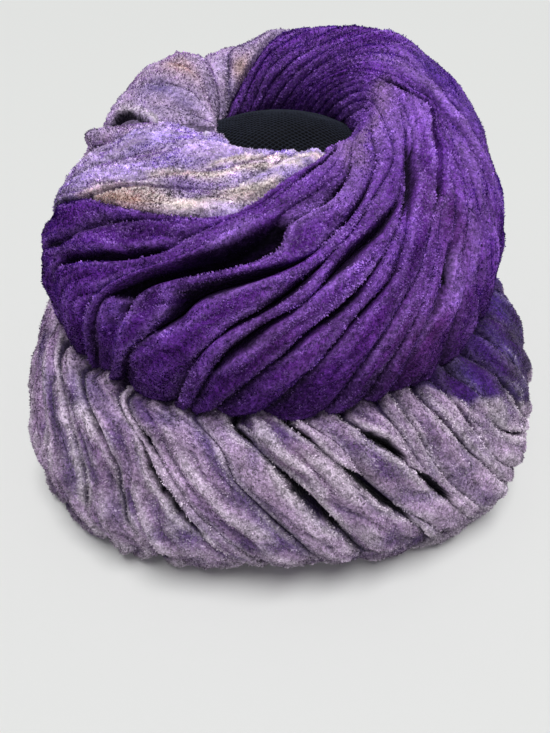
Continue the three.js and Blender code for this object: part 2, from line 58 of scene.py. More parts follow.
CROWN_BASE = 90.0
CAP_OVERLAP = 0.7               # how far the crown's inside may dip into the cap

# ---------- sections round the head ----------
Brim = namedtuple("Brim", "azimuth belly foot height")
BRIM_SECTIONS = [
    Brim(-150, 144, 124, 44), Brim(-100, 142, 128, 42), Brim(-75, 147, 137, 38), Brim(-57, 154, 146, 33),
    Brim(-42, 154, 143, 34), Brim(-25, 149, 135, 38), Brim(0, 144, 123, 43), Brim(22, 148, 132, 39),
    Brim(42, 152, 139, 35), Brim(55, 148, 136, 37), Brim(70, 142, 131, 40), Brim(85, 140, 125, 43),
    Brim(100, 142.5, 123, 44), Brim(150, 143, 122, 45),
]
Crown = namedtuple("Crown", "azimuth outer crest height hole")
CROWN_SECTIONS = [
    Crown(-170, 107, 75, 184, 51), Crown(-158, 107, 74, 181, 47), Crown(-135, 110, 70, 185, 40),
    Crown(-112, 106, 62, 175, 30), Crown(-98, 105, 57, 172, 28), Crown(-85, 109, 51, 171, 27),
    Crown(-65, 118, 48, 172, 26), Crown(-30, 116, 43, 173, 30), Crown(0, 114, 44, 173, 33),
    Crown(30, 114, 46, 173, 34), Crown(60, 112, 52, 176, 36), Crown(90, 111.5, 61, 182, 38),
    Crown(120, 114, 72, 187.5, 42), Crown(150, 114, 77, 190, 50), Crown(180, 110, 76, 189, 54),
]

# ---------- creases ----------
# its depth, its azimuth at each tabled lift, how far the fold before it laps over it, and how far the top of
# the fold after it lies below the full form
Crease = namedtuple("Crease", "name deep at lap low", defaults=(1, 0))
BRIM_LIFTS = [0.05, 0.10, 0.15, 0.20, 0.25, 0.30]
BRIM_CREASES = [
    Crease("left", 9, [-62, -48.5, -42.5, -39.5, -39.5, -38]),
    Crease("left_front", 7, [-50, -38.5, -33, -31, -29.5, -27]),
    Crease("long_slit", 14, [-37, -29, -25, -20, -15, -11], lap=2),
    Crease("ripple", 5, [-35, -27.5, -21.5, -16.5, -10.5, -7.5]),
    Crease("violet_streak", 5, [-19, -12.5, -9.5, -4.5, 0.5, 4]),
    Crease("front_slit", 14, [-11, -6, -0.5, 4.5, 9.5, 12], lap=2),
    Crease("serrated", 14, [0.5, 6, 12, 17.5, 23.5, 26], lap=2),
    Crease("branch", 5, [4, 10, 13.5, 19, 25, 28]),
    Crease("right_slit", 12, [12.5, 17.5, 23, 28, 32.5, 35.5], lap=2),
    Crease("fine", 5, [21, 22.5, 25, 29.5, 34, 37]),
    Crease("violet_nick", 4, [24.5, 25.5, 27.5, 31, 35.5, 38.5]),
    Crease("right_bend", 9, [30, 31.5, 35.5, 40, 43.5, 47], lap=2),
    Crease("under_tuck", 5, [34.5, 36, 39, 42.5, 47.5, 51]),
    Crease("tuck", 9, [40, 41.5, 43.5, 49.5, 57, 60], lap=2),
    Crease("dark_fold", 8, [47, 48, 52, 55, 60, 64]),
    Crease("dark_edge", 5, [55, 55, 58, 62, 66, 70]),
    Crease("notch", 7, [63, 64, 67, 71, 75, 78]),
]
CROWN_LIFTS = [0.06, 0.14, 0.22, 0.26, 0.30, 0.32, 0.34, 0.36, 0.38, 0.40, 0.45, 0.52, 0.60, 0.68]
CROWN_CREASES = [
    Crease("pale_edge", 5, [-83, -82, -80, -75, -64, -57, -18, -7.5, -1.5, 4, 26, 34, 39, 43], lap=0),
    Crease("lobe", 6, [-74, -71, -66.5, -58, -50, -42, -16, -5.5, 0.5, 7, 28, 36, 41, 45]),
    Crease("first_gap", 9, [-64, -61, -57.5, -48, -27.5, -21.5, -14, -4, 2.5, 9, 30, 38, 43, 48], lap=2),
    Crease("pocket_top", 10, [-48.5, -45.5, -41, -34.5, -21, -15, -8, 1, 10, 18, 35, 52, 86, 114], lap=2),
    Crease("tip", 6, [-47, -44, -39.5, -33, -19, -10.5, -2.5, 4, 14, 24, 38, 55, 89, 117], lap=0, low=7),
    Crease("pocket_foot", 9, [-43, -36.5, -33.5, -28, -4, 0.5, 2, 13, 21, 28, 40, 58, 92, 120]),
    Crease("long_gap", 10, [-39.5, -34, -23, -17, 6, 12, 19, 26, 33, 40, 52, 72, 112, 140], lap=2),
    Crease("double", 5, [-24.5, -19, -10.5, 1, 11.5, 17.5, 23.5, 31, 41, 49, 62, 82, 122, 148]),
    Crease("deep_front", 9, [-21, -15, -4.5, 6.5, 17.5, 25, 33.5, 40.5, 47, 53, 69, 90, 131, 154], lap=2),
    Crease("middle", 6, [-16.5, -5.5, 7, 17, 26.5, 31.5, 37, 43, 49.5, 56, 74, 97, 138, 160]),
    Crease("branch", 4, [-6, 4, 14, 23.5, 30, 33.5, 39, 45.5, 52, 60, 78, 101, 144, 165]),
    Crease("overlap", 9, [8, 15.5, 24, 31, 39, 45, 52.5, 62, 69, 80, 86, 104, 149, 170], lap=3),
    Crease("pleat_1", 5, [17, 22.5, 30, 35.5, 42, 47.5, 54, 63.5, 70.5, 82, 88, 107, 151, 172]),
    Crease("pleat_2", 6, [22, 26.5, 35.5, 41, 50, 53, 57, 65.5, 72, 83, 90, 109, 152, 173]),
    Crease("pleat_3", 5, [38, 40, 44, 48, 55, 58, 62, 68, 74.5, 85, 93, 112, 154, 175]),
    Crease("pleat_4", 5, [52, 52.5, 53.5, 55.5, 60, 62.5, 66, 71, 77, 87, 96, 116, 155, 176]),
    Crease("right_side", 5, [62, 63, 64, 66.5, 69, 71.5, 74.5, 78, 82, 89, 100, 121, 157, 178]),
    Crease("right_back", 5, [74, 75, 76, 77.5, 80.5, 83, 86, 90, 93.5, 97, 108, 129, 158, 179]),
    Crease("back", 5, [102, 103, 105, 107, 110, 112, 115, 118, 122, 125, 134, 146, 171, 188]),
    Crease("back_edge", 5, [150, 151, 152, 154, 156, 157, 159, 161, 163, 166, 174, 182, 206, 215]),
]
FRONT_BAND_CREASES = [
    Crease("band_split", 3, [-81, -81, -81, -81, -80, -81, -82, -84, -87, -90, -95, -98, -85, -75], lap=0),
    Crease("broad_dip", 2, [-80, -80, -80, -78, -75, -72, -70, -67, -64, -62, -58, -50, -45, -40], lap=0),
    Crease("nap_edge", 2, [-79, -79, -79, -76, -67, -61, -56.5, -48.5, -43, -29, -5, 8, 14, 18], lap=0),
    Crease("hollow", 4, [-78, -78, -78, -75, -65, -58.5, -54, -46, -17, -11, 6, 18, 24, 28], lap=0),
    Crease("pale_edge", 3, [-76, -76, -76, -74, -64, -57, -18, -7.5, -1.5, 4, 26, 34, 39, 43], lap=0),
]
BACK_BAND_CREASES = [
    CROWN_CREASES[-1]._replace(deep=3, lap=0),
    Crease("dip", 7, [172, 174, 177, 179, 182, 183, 185, 187, 189, 191, 197, 202, 211, 222]),
    Crease("fan_1", 5, [190, 192, 195, 197, 199, 200, 202, 203, 205, 206, 209, 212, 218, 232]),
    Crease("fan_2", 6, [208, 211, 216, 219, 222, 223, 224, 225, 226, 226, 226, 225, 229, 243]),
    Crease("fan_3", 5, [224, 226, 230, 232, 234, 236, 237, 238, 239, 239, 239, 237, 242, 255]),
    Crease("fan_4", 6, [243, 244, 247, 249, 251, 252, 253, 254, 255, 255, 253, 249, 256, 268]),
    Crease("band_split", 3, [279, 279, 279, 279, 280, 279, 278, 276, 273, 270, 265, 263, 275, 285], lap=0),
]

# ---------- gaps that stand open along a crease from a first to a last lift, and a fold pressed in ----------
Slit = namedtuple("Slit", "crease first last wide deep")
BRIM_SLITS = [
    Slit("left", 0.085, 0.26, 3.8, 9), Slit("left_front", 0.085, 0.155, 2.3, 6),
    Slit("long_slit", 0.10, 0.26, 3.8, 10), Slit("ripple", 0.08, 0.13, 1.6, 4),
    Slit("front_slit", 0.13, 0.26, 3.8, 10), Slit("front_slit", 0.05, 0.10, 1.9, 5),
    Slit("serrated", 0.13, 0.24, 3.2, 8), Slit("serrated", 0.05, 0.10, 1.9, 5),
    Slit("right_slit", 0.07, 0.145, 3.5, 10), Slit("right_slit", 0.15, 0.23, 2.7, 7),
    Slit("right_bend", 0.05, 0.15, 1.8, 6), Slit("tuck", 0.14, 0.26, 2.2, 6),
    Slit("under_tuck", 0.08, 0.14, 1.6, 5), Slit("dark_fold", 0.10, 0.20, 2.2, 6),
    Slit("dark_edge", 0.08, 0.20, 2.2, 6),
]
CROWN_SLITS = [
    Slit("lobe", 0.19, 0.275, 2.2, 5), Slit("first_gap", 0.22, 0.312, 3.5, 9),
    Slit("pocket_foot", 0.17, 0.27, 2.5, 7), Slit("long_gap", 0.19, 0.305, 3.8, 9),
    Slit("double", 0.20, 0.30, 1.8, 5), Slit("deep_front", 0.14, 0.25, 3.2, 8),
    Slit("deep_front", 0.26, 0.345, 3.0, 8), Slit("middle", 0.16, 0.30, 1.8, 5),
    Slit("branch", 0.16, 0.30, 1.6, 4), Slit("branch", 0.31, 0.40, 1.4, 4),
    Slit("middle", 0.31, 0.42, 1.5, 4), Slit("overlap", 0.31, 0.43, 3.2, 8),
    Slit("overlap", 0.15, 0.26, 1.6, 4), Slit("pleat_2", 0.18, 0.295, 3.2, 7),
    Slit("pleat_4", 0.27, 0.33, 1.8, 4), Slit("pocket_foot", 0.335, 0.40, 1.5, 4),
    Slit("long_gap", 0.31, 0.38, 1.5, 4), Slit("pleat_3", 0.38, 0.48, 1.5, 4),
    Slit("right_side", 0.30, 0.42, 1.8, 4), Slit("pleat_1", 0.40, 0.52, 1.5, 4),
    Slit("first_gap", 0.36, 0.5, 1.2, 3),
]
CROWN_HOLLOWS = [Slit("tip", 0.225, 0.350, 0, 11)]

# ---------- sizes of folds and pieces ----------
HIDDEN_BEYOND = 0.06            # lift past the last tabled one at which folds are out of sight
MIN_FOLD = 1.2                  # degrees
FOLD_HEIGHT = 0.50              # most of a fold's height, as a share of its width
ROUNDNESS = 0.34                # power of the folds' profile
GATHERED_POWER = 2.0            # how much sharper that profile gets where the folds are gathered
FACE_RADIUS = 110.0             # turns a lap in mm into an angle
COLUMNS_OF_FOLD = (8, 90)       # fewest and most
GAP_DEEP = 4.0                  # a gap's painted shade is quite dark from this depth on
RIM_DEEP = 8.0                  # a crease this deep has the full pale painted highlight on its rim
RIM_OFF, RIM_WIDE = 1.4, 1.5    # how far off a gap its painted highlight lies, and how wide it is
SUNK = 5.0                      # how far the crown lies under the pale bands
BAND_LIFT = 0.6                 # how far a band's face stands over the crown's full form
CLOTH_THICKNESS = 2.0
BRIM_INSET = 2.5                # room for the pile and the finer creases inside the brim's full form
BRIM_BULGE = 4.5                # how far the brim stands out again at its right end
SHOULDER = 5.0                  # how far the crown stands out over its form at the back right
POCKET_DEEP = 13.0
POCKET_LIFT = 0.387
END_INSET, END_DROP = 3.5, 4.5  # how far in and down the rolled end lies in its space
END_TURNS = 1.7
TUFT_WIDTH = 0.7
NET_CELLS = 56
NET_REACH = 62.0
NET_THREAD = 0.5
NET_MIDDLE = (4.0, 6.0)

# ---------- cloth colours, linear ----------
LILAC = (0.37, 0.225, 0.44)
LILAC_PALE = (0.76, 0.57, 0.82)
MAUVE_BROWN = (0.20, 0.115, 0.20)
VIOLET = (0.10, 0.045, 0.24)
VIOLET_BLUE = (0.075, 0.040, 0.30)
PURPLE = (0.105, 0.016, 0.26)
PURPLE_RED = (0.155, 0.028, 0.215)
PURPLE_BRIGHT = (0.205, 0.045, 0.50)
# painted highlight on the crown's ridges, rims and crest
LAVENDER_HIGHLIGHT = (0.46, 0.24, 0.78)
BAND_LILAC = (0.56, 0.41, 0.95)
BACK_LILAC = (0.55, 0.42, 0.70)
TAN = (0.70, 0.46, 0.30)
# painted highlight along the bands' ridges and edges
CREAM_HIGHLIGHT = (0.98, 0.86, 0.82)
FROST_AND_HIGHLIGHT = (0.98, 0.87, 0.99)      # worn tips of the lilac pile, and the pale painted highlight on its ridges, rims and band edges
# worn tips of the purple pile, and the painted highlight on the crown's finer ridges
VIOLET_FROST_AND_HIGHLIGHT = (0.58, 0.29, 1.0)
PAINTED_SHADE_BLACK = (0.006, 0.003, 0.012)   # painted shade: the bottom of a gap, the crown's foot, the back band's pocket and a slit


# ---------- curves ----------
def smooth_through(xs, ys, x):
    """Smooth curve through rows of ys at rising xs, straight on past both ends."""
    xs, ys, x = np.asarray(xs, float), np.asarray(ys, float), np.asarray(x, float)
    count = len(xs)
    before, after = np.maximum(np.arange(count) - 1, 0), np.minimum(np.arange(count) + 1, count - 1)
    slopes = (ys[after] - ys[before]) / (xs[after] - xs[before])[:, None]
    i = np.clip(np.searchsorted(xs, x, side="right") - 1, 0, count - 2)
    step = (xs[i + 1] - xs[i])[..., None]
    h = np.clip((x - xs[i])[..., None] / step, 0, 1)
    rise = ys[i + 1] - ys[i]
    safe = np.where(rise == 0, 1, rise)

    def held(slope):
        return np.where(rise == 0, 0, np.clip(slope * step / safe, 0, 3) * rise)

    inside = ys[i] + rise * h * h * (3 - 2 * h)
    inside = inside + held(slopes[i]) * h * (1 - h) ** 2 - held(slopes[i + 1]) * h * h * (1 - h)
    past = np.where(x < xs[0], x - xs[0], np.where(x > xs[-1], x - xs[-1], 0))[..., None]
    return inside + past * np.where((x < xs[0])[..., None], slopes[0], slopes[-1])


def round_the_head(sections, azimuth):
    """Every column of a table of sections at any azimuth, closed round the head."""
    rows = np.array(sections, float)
    xs = np.concatenate([rows[:, 0] - 360, rows[:, 0], rows[:, 0] + 360])
    ys = np.tile(rows[:, 1:], (3, 1))
    return np.moveaxis(smooth_through(xs, ys, (np.asarray(azimuth) + 180) % 360 - 180), -1, 0)


def on_loop(stations, t):
    """Point on closed Catmull-Rom loops; stations has one (radius, height) row per station."""
    count = stations.shape[-2]
    place = (t % 1) * count
    i = np.floor(place).astype(int)
    w = (place - i)[..., None]

    def station(k):
        return np.take_along_axis(stations, ((i + k) % count)[..., None, None], axis=-2)[..., 0, :]

    a, b, c, d = station(-1), station(0), station(1), station(2)
    return 0.5 * (2 * b + (c - a) * w + (2 * a - 5 * b + 4 * c - d) * w**2 + (3 * b - a - 3 * c + d) * w**3)


def cap_height(radius):
    """Height of the net cap's dome at a radius."""
    share = np.minimum(1, np.asarray(radius, float) / CAP_RADIUS)
    return CAP_SHOULDER + (CAP_TOP - CAP_SHOULDER) * np.sqrt(1 - share**2)


def table_of(azimuth, pairs):
    """Stations as an array from (radius, height) pairs that may be numbers or arrays."""
    shape = np.shape(azimuth)
    rows = [[np.broadcast_to(np.asarray(v, float), shape) for v in pair] for pair in pairs]
    return np.stack([np.stack(row, -1) for row in rows], -2)


def brim_stations(azimuth):
    """Lower roll's section, from its top over the outside, under and up the inside."""
    belly, foot, height = round_the_head(BRIM_SECTIONS, azimuth)
    return table_of(azimuth, [
        (104, BRIM_TOP), (belly - 23, BRIM_TOP - 5), (belly - 9, height + 29), (belly, height + 3),
        (belly - 1, height * 0.45 + 5), (foot + 8, 6), (foot - 8, 0), (106, 0),
        (97, 12), (95, 40), (95, 66), (97, 85),
    ])


def crown_stations(azimuth):
    """Crown roll's section, from its foot up the outside, over the crest and down into the hole."""
    outer, crest, height, hole = round_the_head(CROWN_SECTIONS, azimuth)
    rise = height - CROWN_BASE
    return table_of(azimuth, [
        (outer - 8, CROWN_BASE),
        (outer - 1, CROWN_BASE + 5),
        (outer, CROWN_BASE + 0.35 * rise),
        (outer - 6, CROWN_BASE + 0.59 * rise),
        (outer * 0.68 + crest * 0.32, CROWN_BASE + 0.83 * rise),
        (outer * 0.30 + crest * 0.70, CROWN_BASE + 0.962 * rise),
        (crest * 0.9 + hole * 0.1, height),
        (hole * 0.7 + crest * 0.3, height - 5),
        (hole, np.maximum(height - 0.24 * rise, cap_height(hole) + 3)),
        (hole + 7, np.maximum(CROWN_BASE + 0.45 * rise, cap_height(hole + 7) - 6)),
        (74, cap_height(74) - 8),
        (84, cap_height(84) - 8),
        (97, CROWN_BASE + 3),
    ])


def lie(stations, azimuth, lift, out):
    """Points in millimetres at azimuth and lift, moved out along the section's normal by out."""
    azimuth, lift, out = np.broadcast_arrays(azimuth, lift, out)
    loop = stations(azimuth)
    here = on_loop(loop, lift)
    along = on_loop(loop, lift + 0.01) - on_loop(loop, lift - 0.01)
    along = along / np.linalg.norm(along, axis=-1, keepdims=True)
    turn = -1 if stations is brim_stations else 1
    radius = here[..., 0] + turn * out * along[..., 1]
    height = here[..., 1] - turn * out * along[..., 0]
    a = np.radians(azimuth)
    return np.stack([radius * np.sin(a), -radius * np.cos(a), height], -1)


def wander(x, y, seed):
    """Smooth repeatable unevenness from -1 to 1, one hump to a unit."""
    size = 128
    lattice = np.random.default_rng(seed).uniform(-1, 1, (size, size))
    x, y = np.broadcast_arrays(x, y)
    i, j = np.floor(x).astype(int), np.floor(y).astype(int)
    u, v = x - i, y - j
    u, v = u * u * (3 - 2 * u), v * v * (3 - 2 * v)
    near = lattice[i % size, j % size] * (1 - u) + lattice[(i + 1) % size, j % size] * u
    far = lattice[i % size, (j + 1) % size] * (1 - u) + lattice[(i + 1) % size, (j + 1) % size] * u
    return near * (1 - v) + far * v


def smoothstep(low, high, x):
    h = np.clip((np.asarray(x, float) - low) / (high - low), 0, 1)
    return h * h * (3 - 2 * h)


def wrapped(azimuth):
    """Azimuth from -180 to 180."""
    return (np.asarray(azimuth) + 180) % 360 - 180


def unit(vectors):
    return vectors / (np.linalg.norm(vectors, axis=-1, keepdims=True) + 1e-12)


# ---------- folds ----------
def creases_between(first, last, count):
    """Creases between two known ones, spread evenly with a little unevenness."""
    made = []
    for i in range(count):
        share = (i + 1 + 0.25 * float(wander(i * 1.37 + first.at[0], 0.5, 3))) / (count + 1)
        at = [a + (b - a) * share for a, b in zip(first.at, last.at)]
        deep = 6 + 1.5 * float(wander(i * 1.71 + 0.3, 0.5, 4))
        made.append(Crease("hidden", deep, at))
    return made


def next_turn(crease):
    return crease._replace(at=[azimuth + 360 for azimuth in crease.at])


def crease_azimuths(creases, lifts, rows):
    """Azimuth of every crease at every row; past the tabled lifts the folds unwind out of sight."""
    table = np.array([crease.at for crease in creases], float).T
    lowest, highest = lifts[0], lifts[-1] + HIDDEN_BEYOND

    def at(height):
        found = smooth_through(lifts, table, height)
        for i in range(1, found.shape[-1]):
            found[..., i] = np.maximum(found[..., i], found[..., i - 1] + MIN_FOLD)
        return found

    rows = np.asarray(rows, float)
    shown = at(np.clip(rows, lowest, highest))
    share = np.clip((rows - highest) / (1 - highest), 0, 1)[:, None]
    return shown + (at(np.array([lowest]))[0] - shown) * share


def open_along(slits, name, rows):
    """Half width and depth of the gap that stands open along a crease at each row."""
    wide, deep = np.zeros(len(rows)), np.zeros(len(rows))
    for slit in slits:
        if slit.crease == name:
            taper = np.sin(np.pi * np.clip((rows - slit.first) / (slit.last - slit.first), 0, 1)) ** 0.6
            wide, deep = np.maximum(wide, slit.wide * taper), np.maximum(deep, slit.deep * taper)
    return wide[:, None], deep[:, None]


# how the folds between the creases run: azimuths of the creases at each row, how far along each fold and how
# wide it is there in mm, how gathered it is, and its usual width
Course = namedtuple("Course", "rows creases ring edges run width narrow chord")
# every point of a cloth: its place, depth below the full form, height on its fold's profile, which fold it is
# on, that fold's width, how far along and across the fold it is in mm, how deep in a gap and on a gap's rim
Grid = namedtuple("Grid", "azimuth lift depth top fold width run side gap rim")


def course_of(stations, creases, lifts, rows, gathered, ring):
    """How the folds between the creases run over a roll's full form."""
    edges = crease_azimuths(creases, lifts, rows)
    at_edges = lie(stations, edges, rows[:, None], 0.0)
    middle = (at_edges[:, 1:] + at_edges[:, :-1]) / 2
    run = np.cumsum(np.linalg.norm(np.diff(middle, axis=0, prepend=middle[:1]), axis=-1), axis=0)
    tangent = unit(np.gradient(middle, axis=0))
    across = at_edges[:, 1:] - at_edges[:, :-1]
    width = np.linalg.norm(across - (across * tangent).sum(-1, keepdims=True) * tangent, axis=-1)
    narrow = smoothstep(*gathered, rows)[:, None] if gathered else 0
    chord = np.median(np.linalg.norm(across, axis=-1), axis=0)
    return Course(rows, creases, ring, edges, run, width, narrow, chord)


def crease_depth(course, i, fold, neighbour, seed):
    """Depth of crease i between two folds at each row: it wanders, and narrow folds leave it little room."""
    folds = len(course.creases) - 1
    place = i % folds if course.ring else i
    deep = course.creases[i].deep * (0.8 + 0.45 * wander(course.rows * 9, place * 2.9, seed))
    widths = course.width[:, fold] + course.width[:, np.clip(neighbour, 0, folds - 1)]
    return np.minimum(deep, FOLD_HEIGHT * widths / 2)[:, None]


def beside_gap(slits, crease, rows, off):
    """Depth of the gap along a crease at a distance off it in mm, and how much of its rim is there."""
    wide, deep = open_along(slits, crease.name, rows)
    gap = deep * (1 - smoothstep(0.45, 1.1, off / (wide + 0.01)))
    return gap, np.exp(-(((off - wide - RIM_OFF) / RIM_WIDE) ** 2))


def one_fold(course, k, count, seed, slits, hollows):
    """The grid's values over fold k, all but the lift, in count columns from its left crease on."""
    last = not course.ring and k == len(course.creases) - 2
    t = np.arange(count + last) / count
    share = 0.5 * t + 0.25 * (1 - np.cos(np.pi * t))
    left, right = course.creases[k], course.creases[k + 1]
    run, width = course.run[:, k, None], course.width[:, k, None]
    skew = 1 + 0.35 * wander(run / 40, k * 1.7, seed + 1)
    uneven = 0.35 * wander(run / 50, k * 2.3, seed + 2)
    top = np.sin(np.pi * share**skew) ** (ROUNDNESS * (1 + uneven + GATHERED_POWER * course.narrow))
    deep_left = crease_depth(course, k, k, k - 1, seed)
    deep_right = crease_depth(course, k + 1, k, k + 1, seed)
    deep = deep_left + (deep_right - deep_left) * smoothstep(0.3, 0.7, share)
    lap = left.lap * (1 - smoothstep(0, 0.4, share)) * -0.3 + right.lap * smoothstep(0.3, 0.9, share)
    start, end = course.edges[:, k, None], course.edges[:, k + 1, None]
    azimuth = start + (end - start) * share + np.degrees(lap * top / FACE_RADIUS)
    gap_left, rim_left = beside_gap(slits, left, course.rows, share * width)
    gap_right, rim_right = beside_gap(slits, right, course.rows, (1 - share) * width)
    pressed = open_along(hollows, left.name, course.rows)[1] * smoothstep(0.02, 0.2, top)
    gap = np.maximum(np.maximum(gap_left, gap_right), pressed)
    depth = deep + (np.minimum(left.low, deep) - deep) * top + gap
    # dark is how much near-black painted shade the gap gets; rim is where the pale painted highlight goes
    dark = np.clip(gap / GAP_DEEP, 0, 1)
    rim = np.clip(deep / RIM_DEEP, 0, 1) * np.maximum(rim_left, rim_right) * (1 - dark)
    flat = np.zeros_like(top)
    return azimuth, depth, top, flat + k, flat + width, flat + run, share * width, dark, rim


def fold_grid(stations, creases, lifts, rows, spacing, seed, slits=(), hollows=(), gathered=None, ring=True):
    """A cloth's points in columns that follow its folds, about spacing mm apart."""
    rows = np.asarray(rows, float)
    course = course_of(stations, creases, lifts, rows, gathered, ring)
    counts = np.clip(course.chord / spacing, *COLUMNS_OF_FOLD).astype(int)
    folds = [one_fold(course, k, counts[k], seed, slits, hollows) for k in range(len(counts))]
    azimuth, *others = (np.concatenate(values, 1) for values in zip(*folds))
    return Grid(azimuth, np.broadcast_to(rows[:, None], azimuth.shape), *others)


def wrinkles(grid, seed, size):
    """Height of the finer creases that run along the folds, drift, meet and die away.

    Each wander is divided by the length in mm of its humps, across the fold and along it."""
    side = grid.side + grid.fold * 37.3
    drift = 4 * wander(grid.run / 24, side / 16, seed)
    broad = np.abs(wander((side + drift) / 5.2, grid.run / 46, seed + 1)) ** 0.75
    fine = np.abs(wander((side + 0.6 * drift) / 2.7, grid.run / 27, seed + 2)) ** 0.8
    crumple = wander(side / 8, grid.run / 9, seed + 3)
    room = np.clip(grid.width / 13, 0.3, 1.15)
    return size * room * np.sqrt(grid.top) * (2.4 * (broad - 0.35) + 0.9 * (fine - 0.35) + 0.55 * crumple)


# ---------- meshes ----------
def deselect():
    bpy.ops.object.select_all(action="DESELECT")


def take_up(obj):
    """Makes obj the only selected and the active object."""
    deselect()
    obj.select_set(True)
    bpy.context.view_layer.objects.active = obj


def sheet_from_grid(name, points):
    """A grid primitive whose vertices are moved to points, given as [row][column] in millimetres."""
    rows, columns = points.shape[:2]
    deselect()
    bpy.ops.mesh.primitive_grid_add(x_subdivisions=columns - 1, y_subdivisions=rows - 1, size=0.1)
    obj = bpy.context.object
    obj.name = name
    obj.data.vertices.foreach_set("co", (points * MM).astype(np.float32).ravel())
    obj.data.uv_layers[0].name = "OFBake"
    obj.data.update()
    return obj


def outwards(obj, joined=True):
    """Joins edges of a sheet that meet, and turns its faces outwards."""
    take_up(obj)
    bpy.ops.object.mode_set(mode="EDIT")
    bpy.ops.mesh.select_all(action="SELECT")
    if joined:
        bpy.ops.mesh.remove_doubles(threshold=1e-6)
    bpy.ops.mesh.normals_make_consistent(inside=False)
    bpy.ops.object.mode_set(mode="OBJECT")


def apply_modifier(obj, kind, **settings):
    take_up(obj)
    modifier = obj.modifiers.new(kind.title(), kind)
    for key, value in settings.items():
        setattr(modifier, key, value)
    bpy.ops.object.modifier_apply(modifier=modifier.name)


def added(name, data):
    """A new object of a mesh, camera or light in the scene."""
    obj = bpy.data.objects.new(name, data)
    bpy.context.scene.collection.objects.link(obj)
    return obj


def smooth(obj):
    obj.data.polygons.foreach_set("use_smooth", np.ones(len(obj.data.polygons), bool))


def write_dye(mesh, colours, nap):
    """Puts the cloth's colour, painted shade and highlights included, and its nap and highlight (0 in a
    crease, 1 on a ridge) on the points.
    """
    dyed = mesh.attributes.new("dyed", "FLOAT_COLOR", "POINT")
    rgba = np.concatenate([colours, np.ones(colours.shape[:-1] + (1,))], -1)
    dyed.data.foreach_set("color", rgba.astype(np.float32).ravel())
    wear_and_highlight = mesh.attributes.new("nap", "FLOAT", "POINT")
    wear_and_highlight.data.foreach_set("value", nap.astype(np.float32).ravel())


def mixed(a, b, share):
    share = np.asarray(share)[..., None]
    return np.asarray(a) * (1 - share) + np.asarray(b) * share


def dimmed(colour, share):
    return np.asarray(colour) * share


# ---------- dye, painted shade and painted highlights ---
DEGREES_PER_LIFT = 190          # lift 1 is as long as this many degrees on the crown's face
Patch = namedtuple("Patch", "azimuth lift across along colour strength")
Streak = namedtuple("Streak", "colour strength wide points")   # wide in degrees, points are (azimuth, lift)


def spot(grid, azimuth, lift, across, along):
    """1 at a place on the cloth, dying away over as many degrees across and as much lift along."""
    off = wrapped(grid.azimuth - azimuth) / across
    up = (grid.lift - lift) / along
    return np.exp(-(off**2 + up**2))


def clouds(grid, along, across, seed):
    """Unevenness from -1 to 1 that is new on each fold, in humps so many mm long and wide."""
    return wander(grid.run / along, (grid.side + grid.fold * 31) / across, seed)


def patched(colour, grid, patches):
    """Blends soft spots of dye, painted shade and painted highlight into the colour."""
    for patch in patches:
        share = spot(grid, patch.azimuth, patch.lift, patch.across, patch.along)
        colour = mixed(colour, patch.colour, patch.strength * share)
    return colour


def streak_share(grid, streak):
    """How much of a streak shows (dye, painted shade and painted highlights alike): 1 on its line, 0 past its
    width.
    """
    points = np.array(streak.points, float)
    nearest = np.full(grid.azimuth.shape, 1e9)
    for start, end in zip(points[:-1], points[1:]):
        way = (end - start) * (1, DEGREES_PER_LIFT)
        off = wrapped(grid.azimuth - start[0])
        up = (grid.lift - start[1]) * DEGREES_PER_LIFT
        along = np.clip((off * way[0] + up * way[1]) / (way @ way), 0, 1)
        nearest = np.minimum(nearest, np.hypot(off - along * way[0], up - along * way[1]))
    return np.exp(-((nearest / streak.wide) ** 2))


def streaked(colour, grid, streaks):
    for streak in streaks:
        colour = mixed(colour, streak.colour, streak.strength * streak_share(grid, streak))
    return colour


def paleness(colour):
    """Share of the wear and painted highlight that shows: all of it on pale cloth, a little on dark."""
    return 0.12 + 0.88 * smoothstep(0.10, 0.26, colour.mean(-1))


# The violet and violet-blue patches are painted shade by the gaps and creases; the others are dye.
BRIM_PATCHES = [
    Patch(-31.5, 0.225, 3, 0.03, VIOLET, 0.6), Patch(-17.5, 0.235, 4.5, 0.035, VIOLET, 0.85),
    Patch(-1, 0.08, 4, 0.02, VIOLET, 0.6), Patch(-44, 0.085, 4, 0.022, VIOLET, 0.9),
    Patch(3, 0.125, 4, 0.03, MAUVE_BROWN, 0.6), Patch(-24, 0.06, 3, 0.015, VIOLET_BLUE, 0.6),
    Patch(-47, 0.06, 4, 0.015, VIOLET_BLUE, 0.6), Patch(36, 0.20, 13, 0.07, LILAC_PALE, 0.45),
    Patch(2, 0.15, 10, 0.05, MAUVE_BROWN, 0.35), Patch(-12, 0.07, 6, 0.03, VIOLET, 0.35),
]
# The violet streaks are painted shade along two creases and in a broad hollow.
BRIM_STREAKS = [
    Streak(VIOLET, 0.8, 1.6, [(-19, 0.05), (-10, 0.15), (4, 0.30)]),
    Streak(VIOLET, 0.7, 0.9, [(27, 0.12), (27.5, 0.17)]),
    Streak(VIOLET, 0.7, 3.0, [(-70, 0.11), (-57, 0.10), (-50, 0.13), (-44, 0.165), (-41, 0.22)]),
]
# azimuth and lift along the edge of the dark dyed stretch
DARK_LINE = [(30, 0.03), (35, 0.07), (37, 0.09), (45, 0.118), (50, 0.134), (52, 0.146), (53, 0.173),
             (56, 0.19), (75, 0.21), (100, 0.17), (125, 0.08), (140, 0.0)]


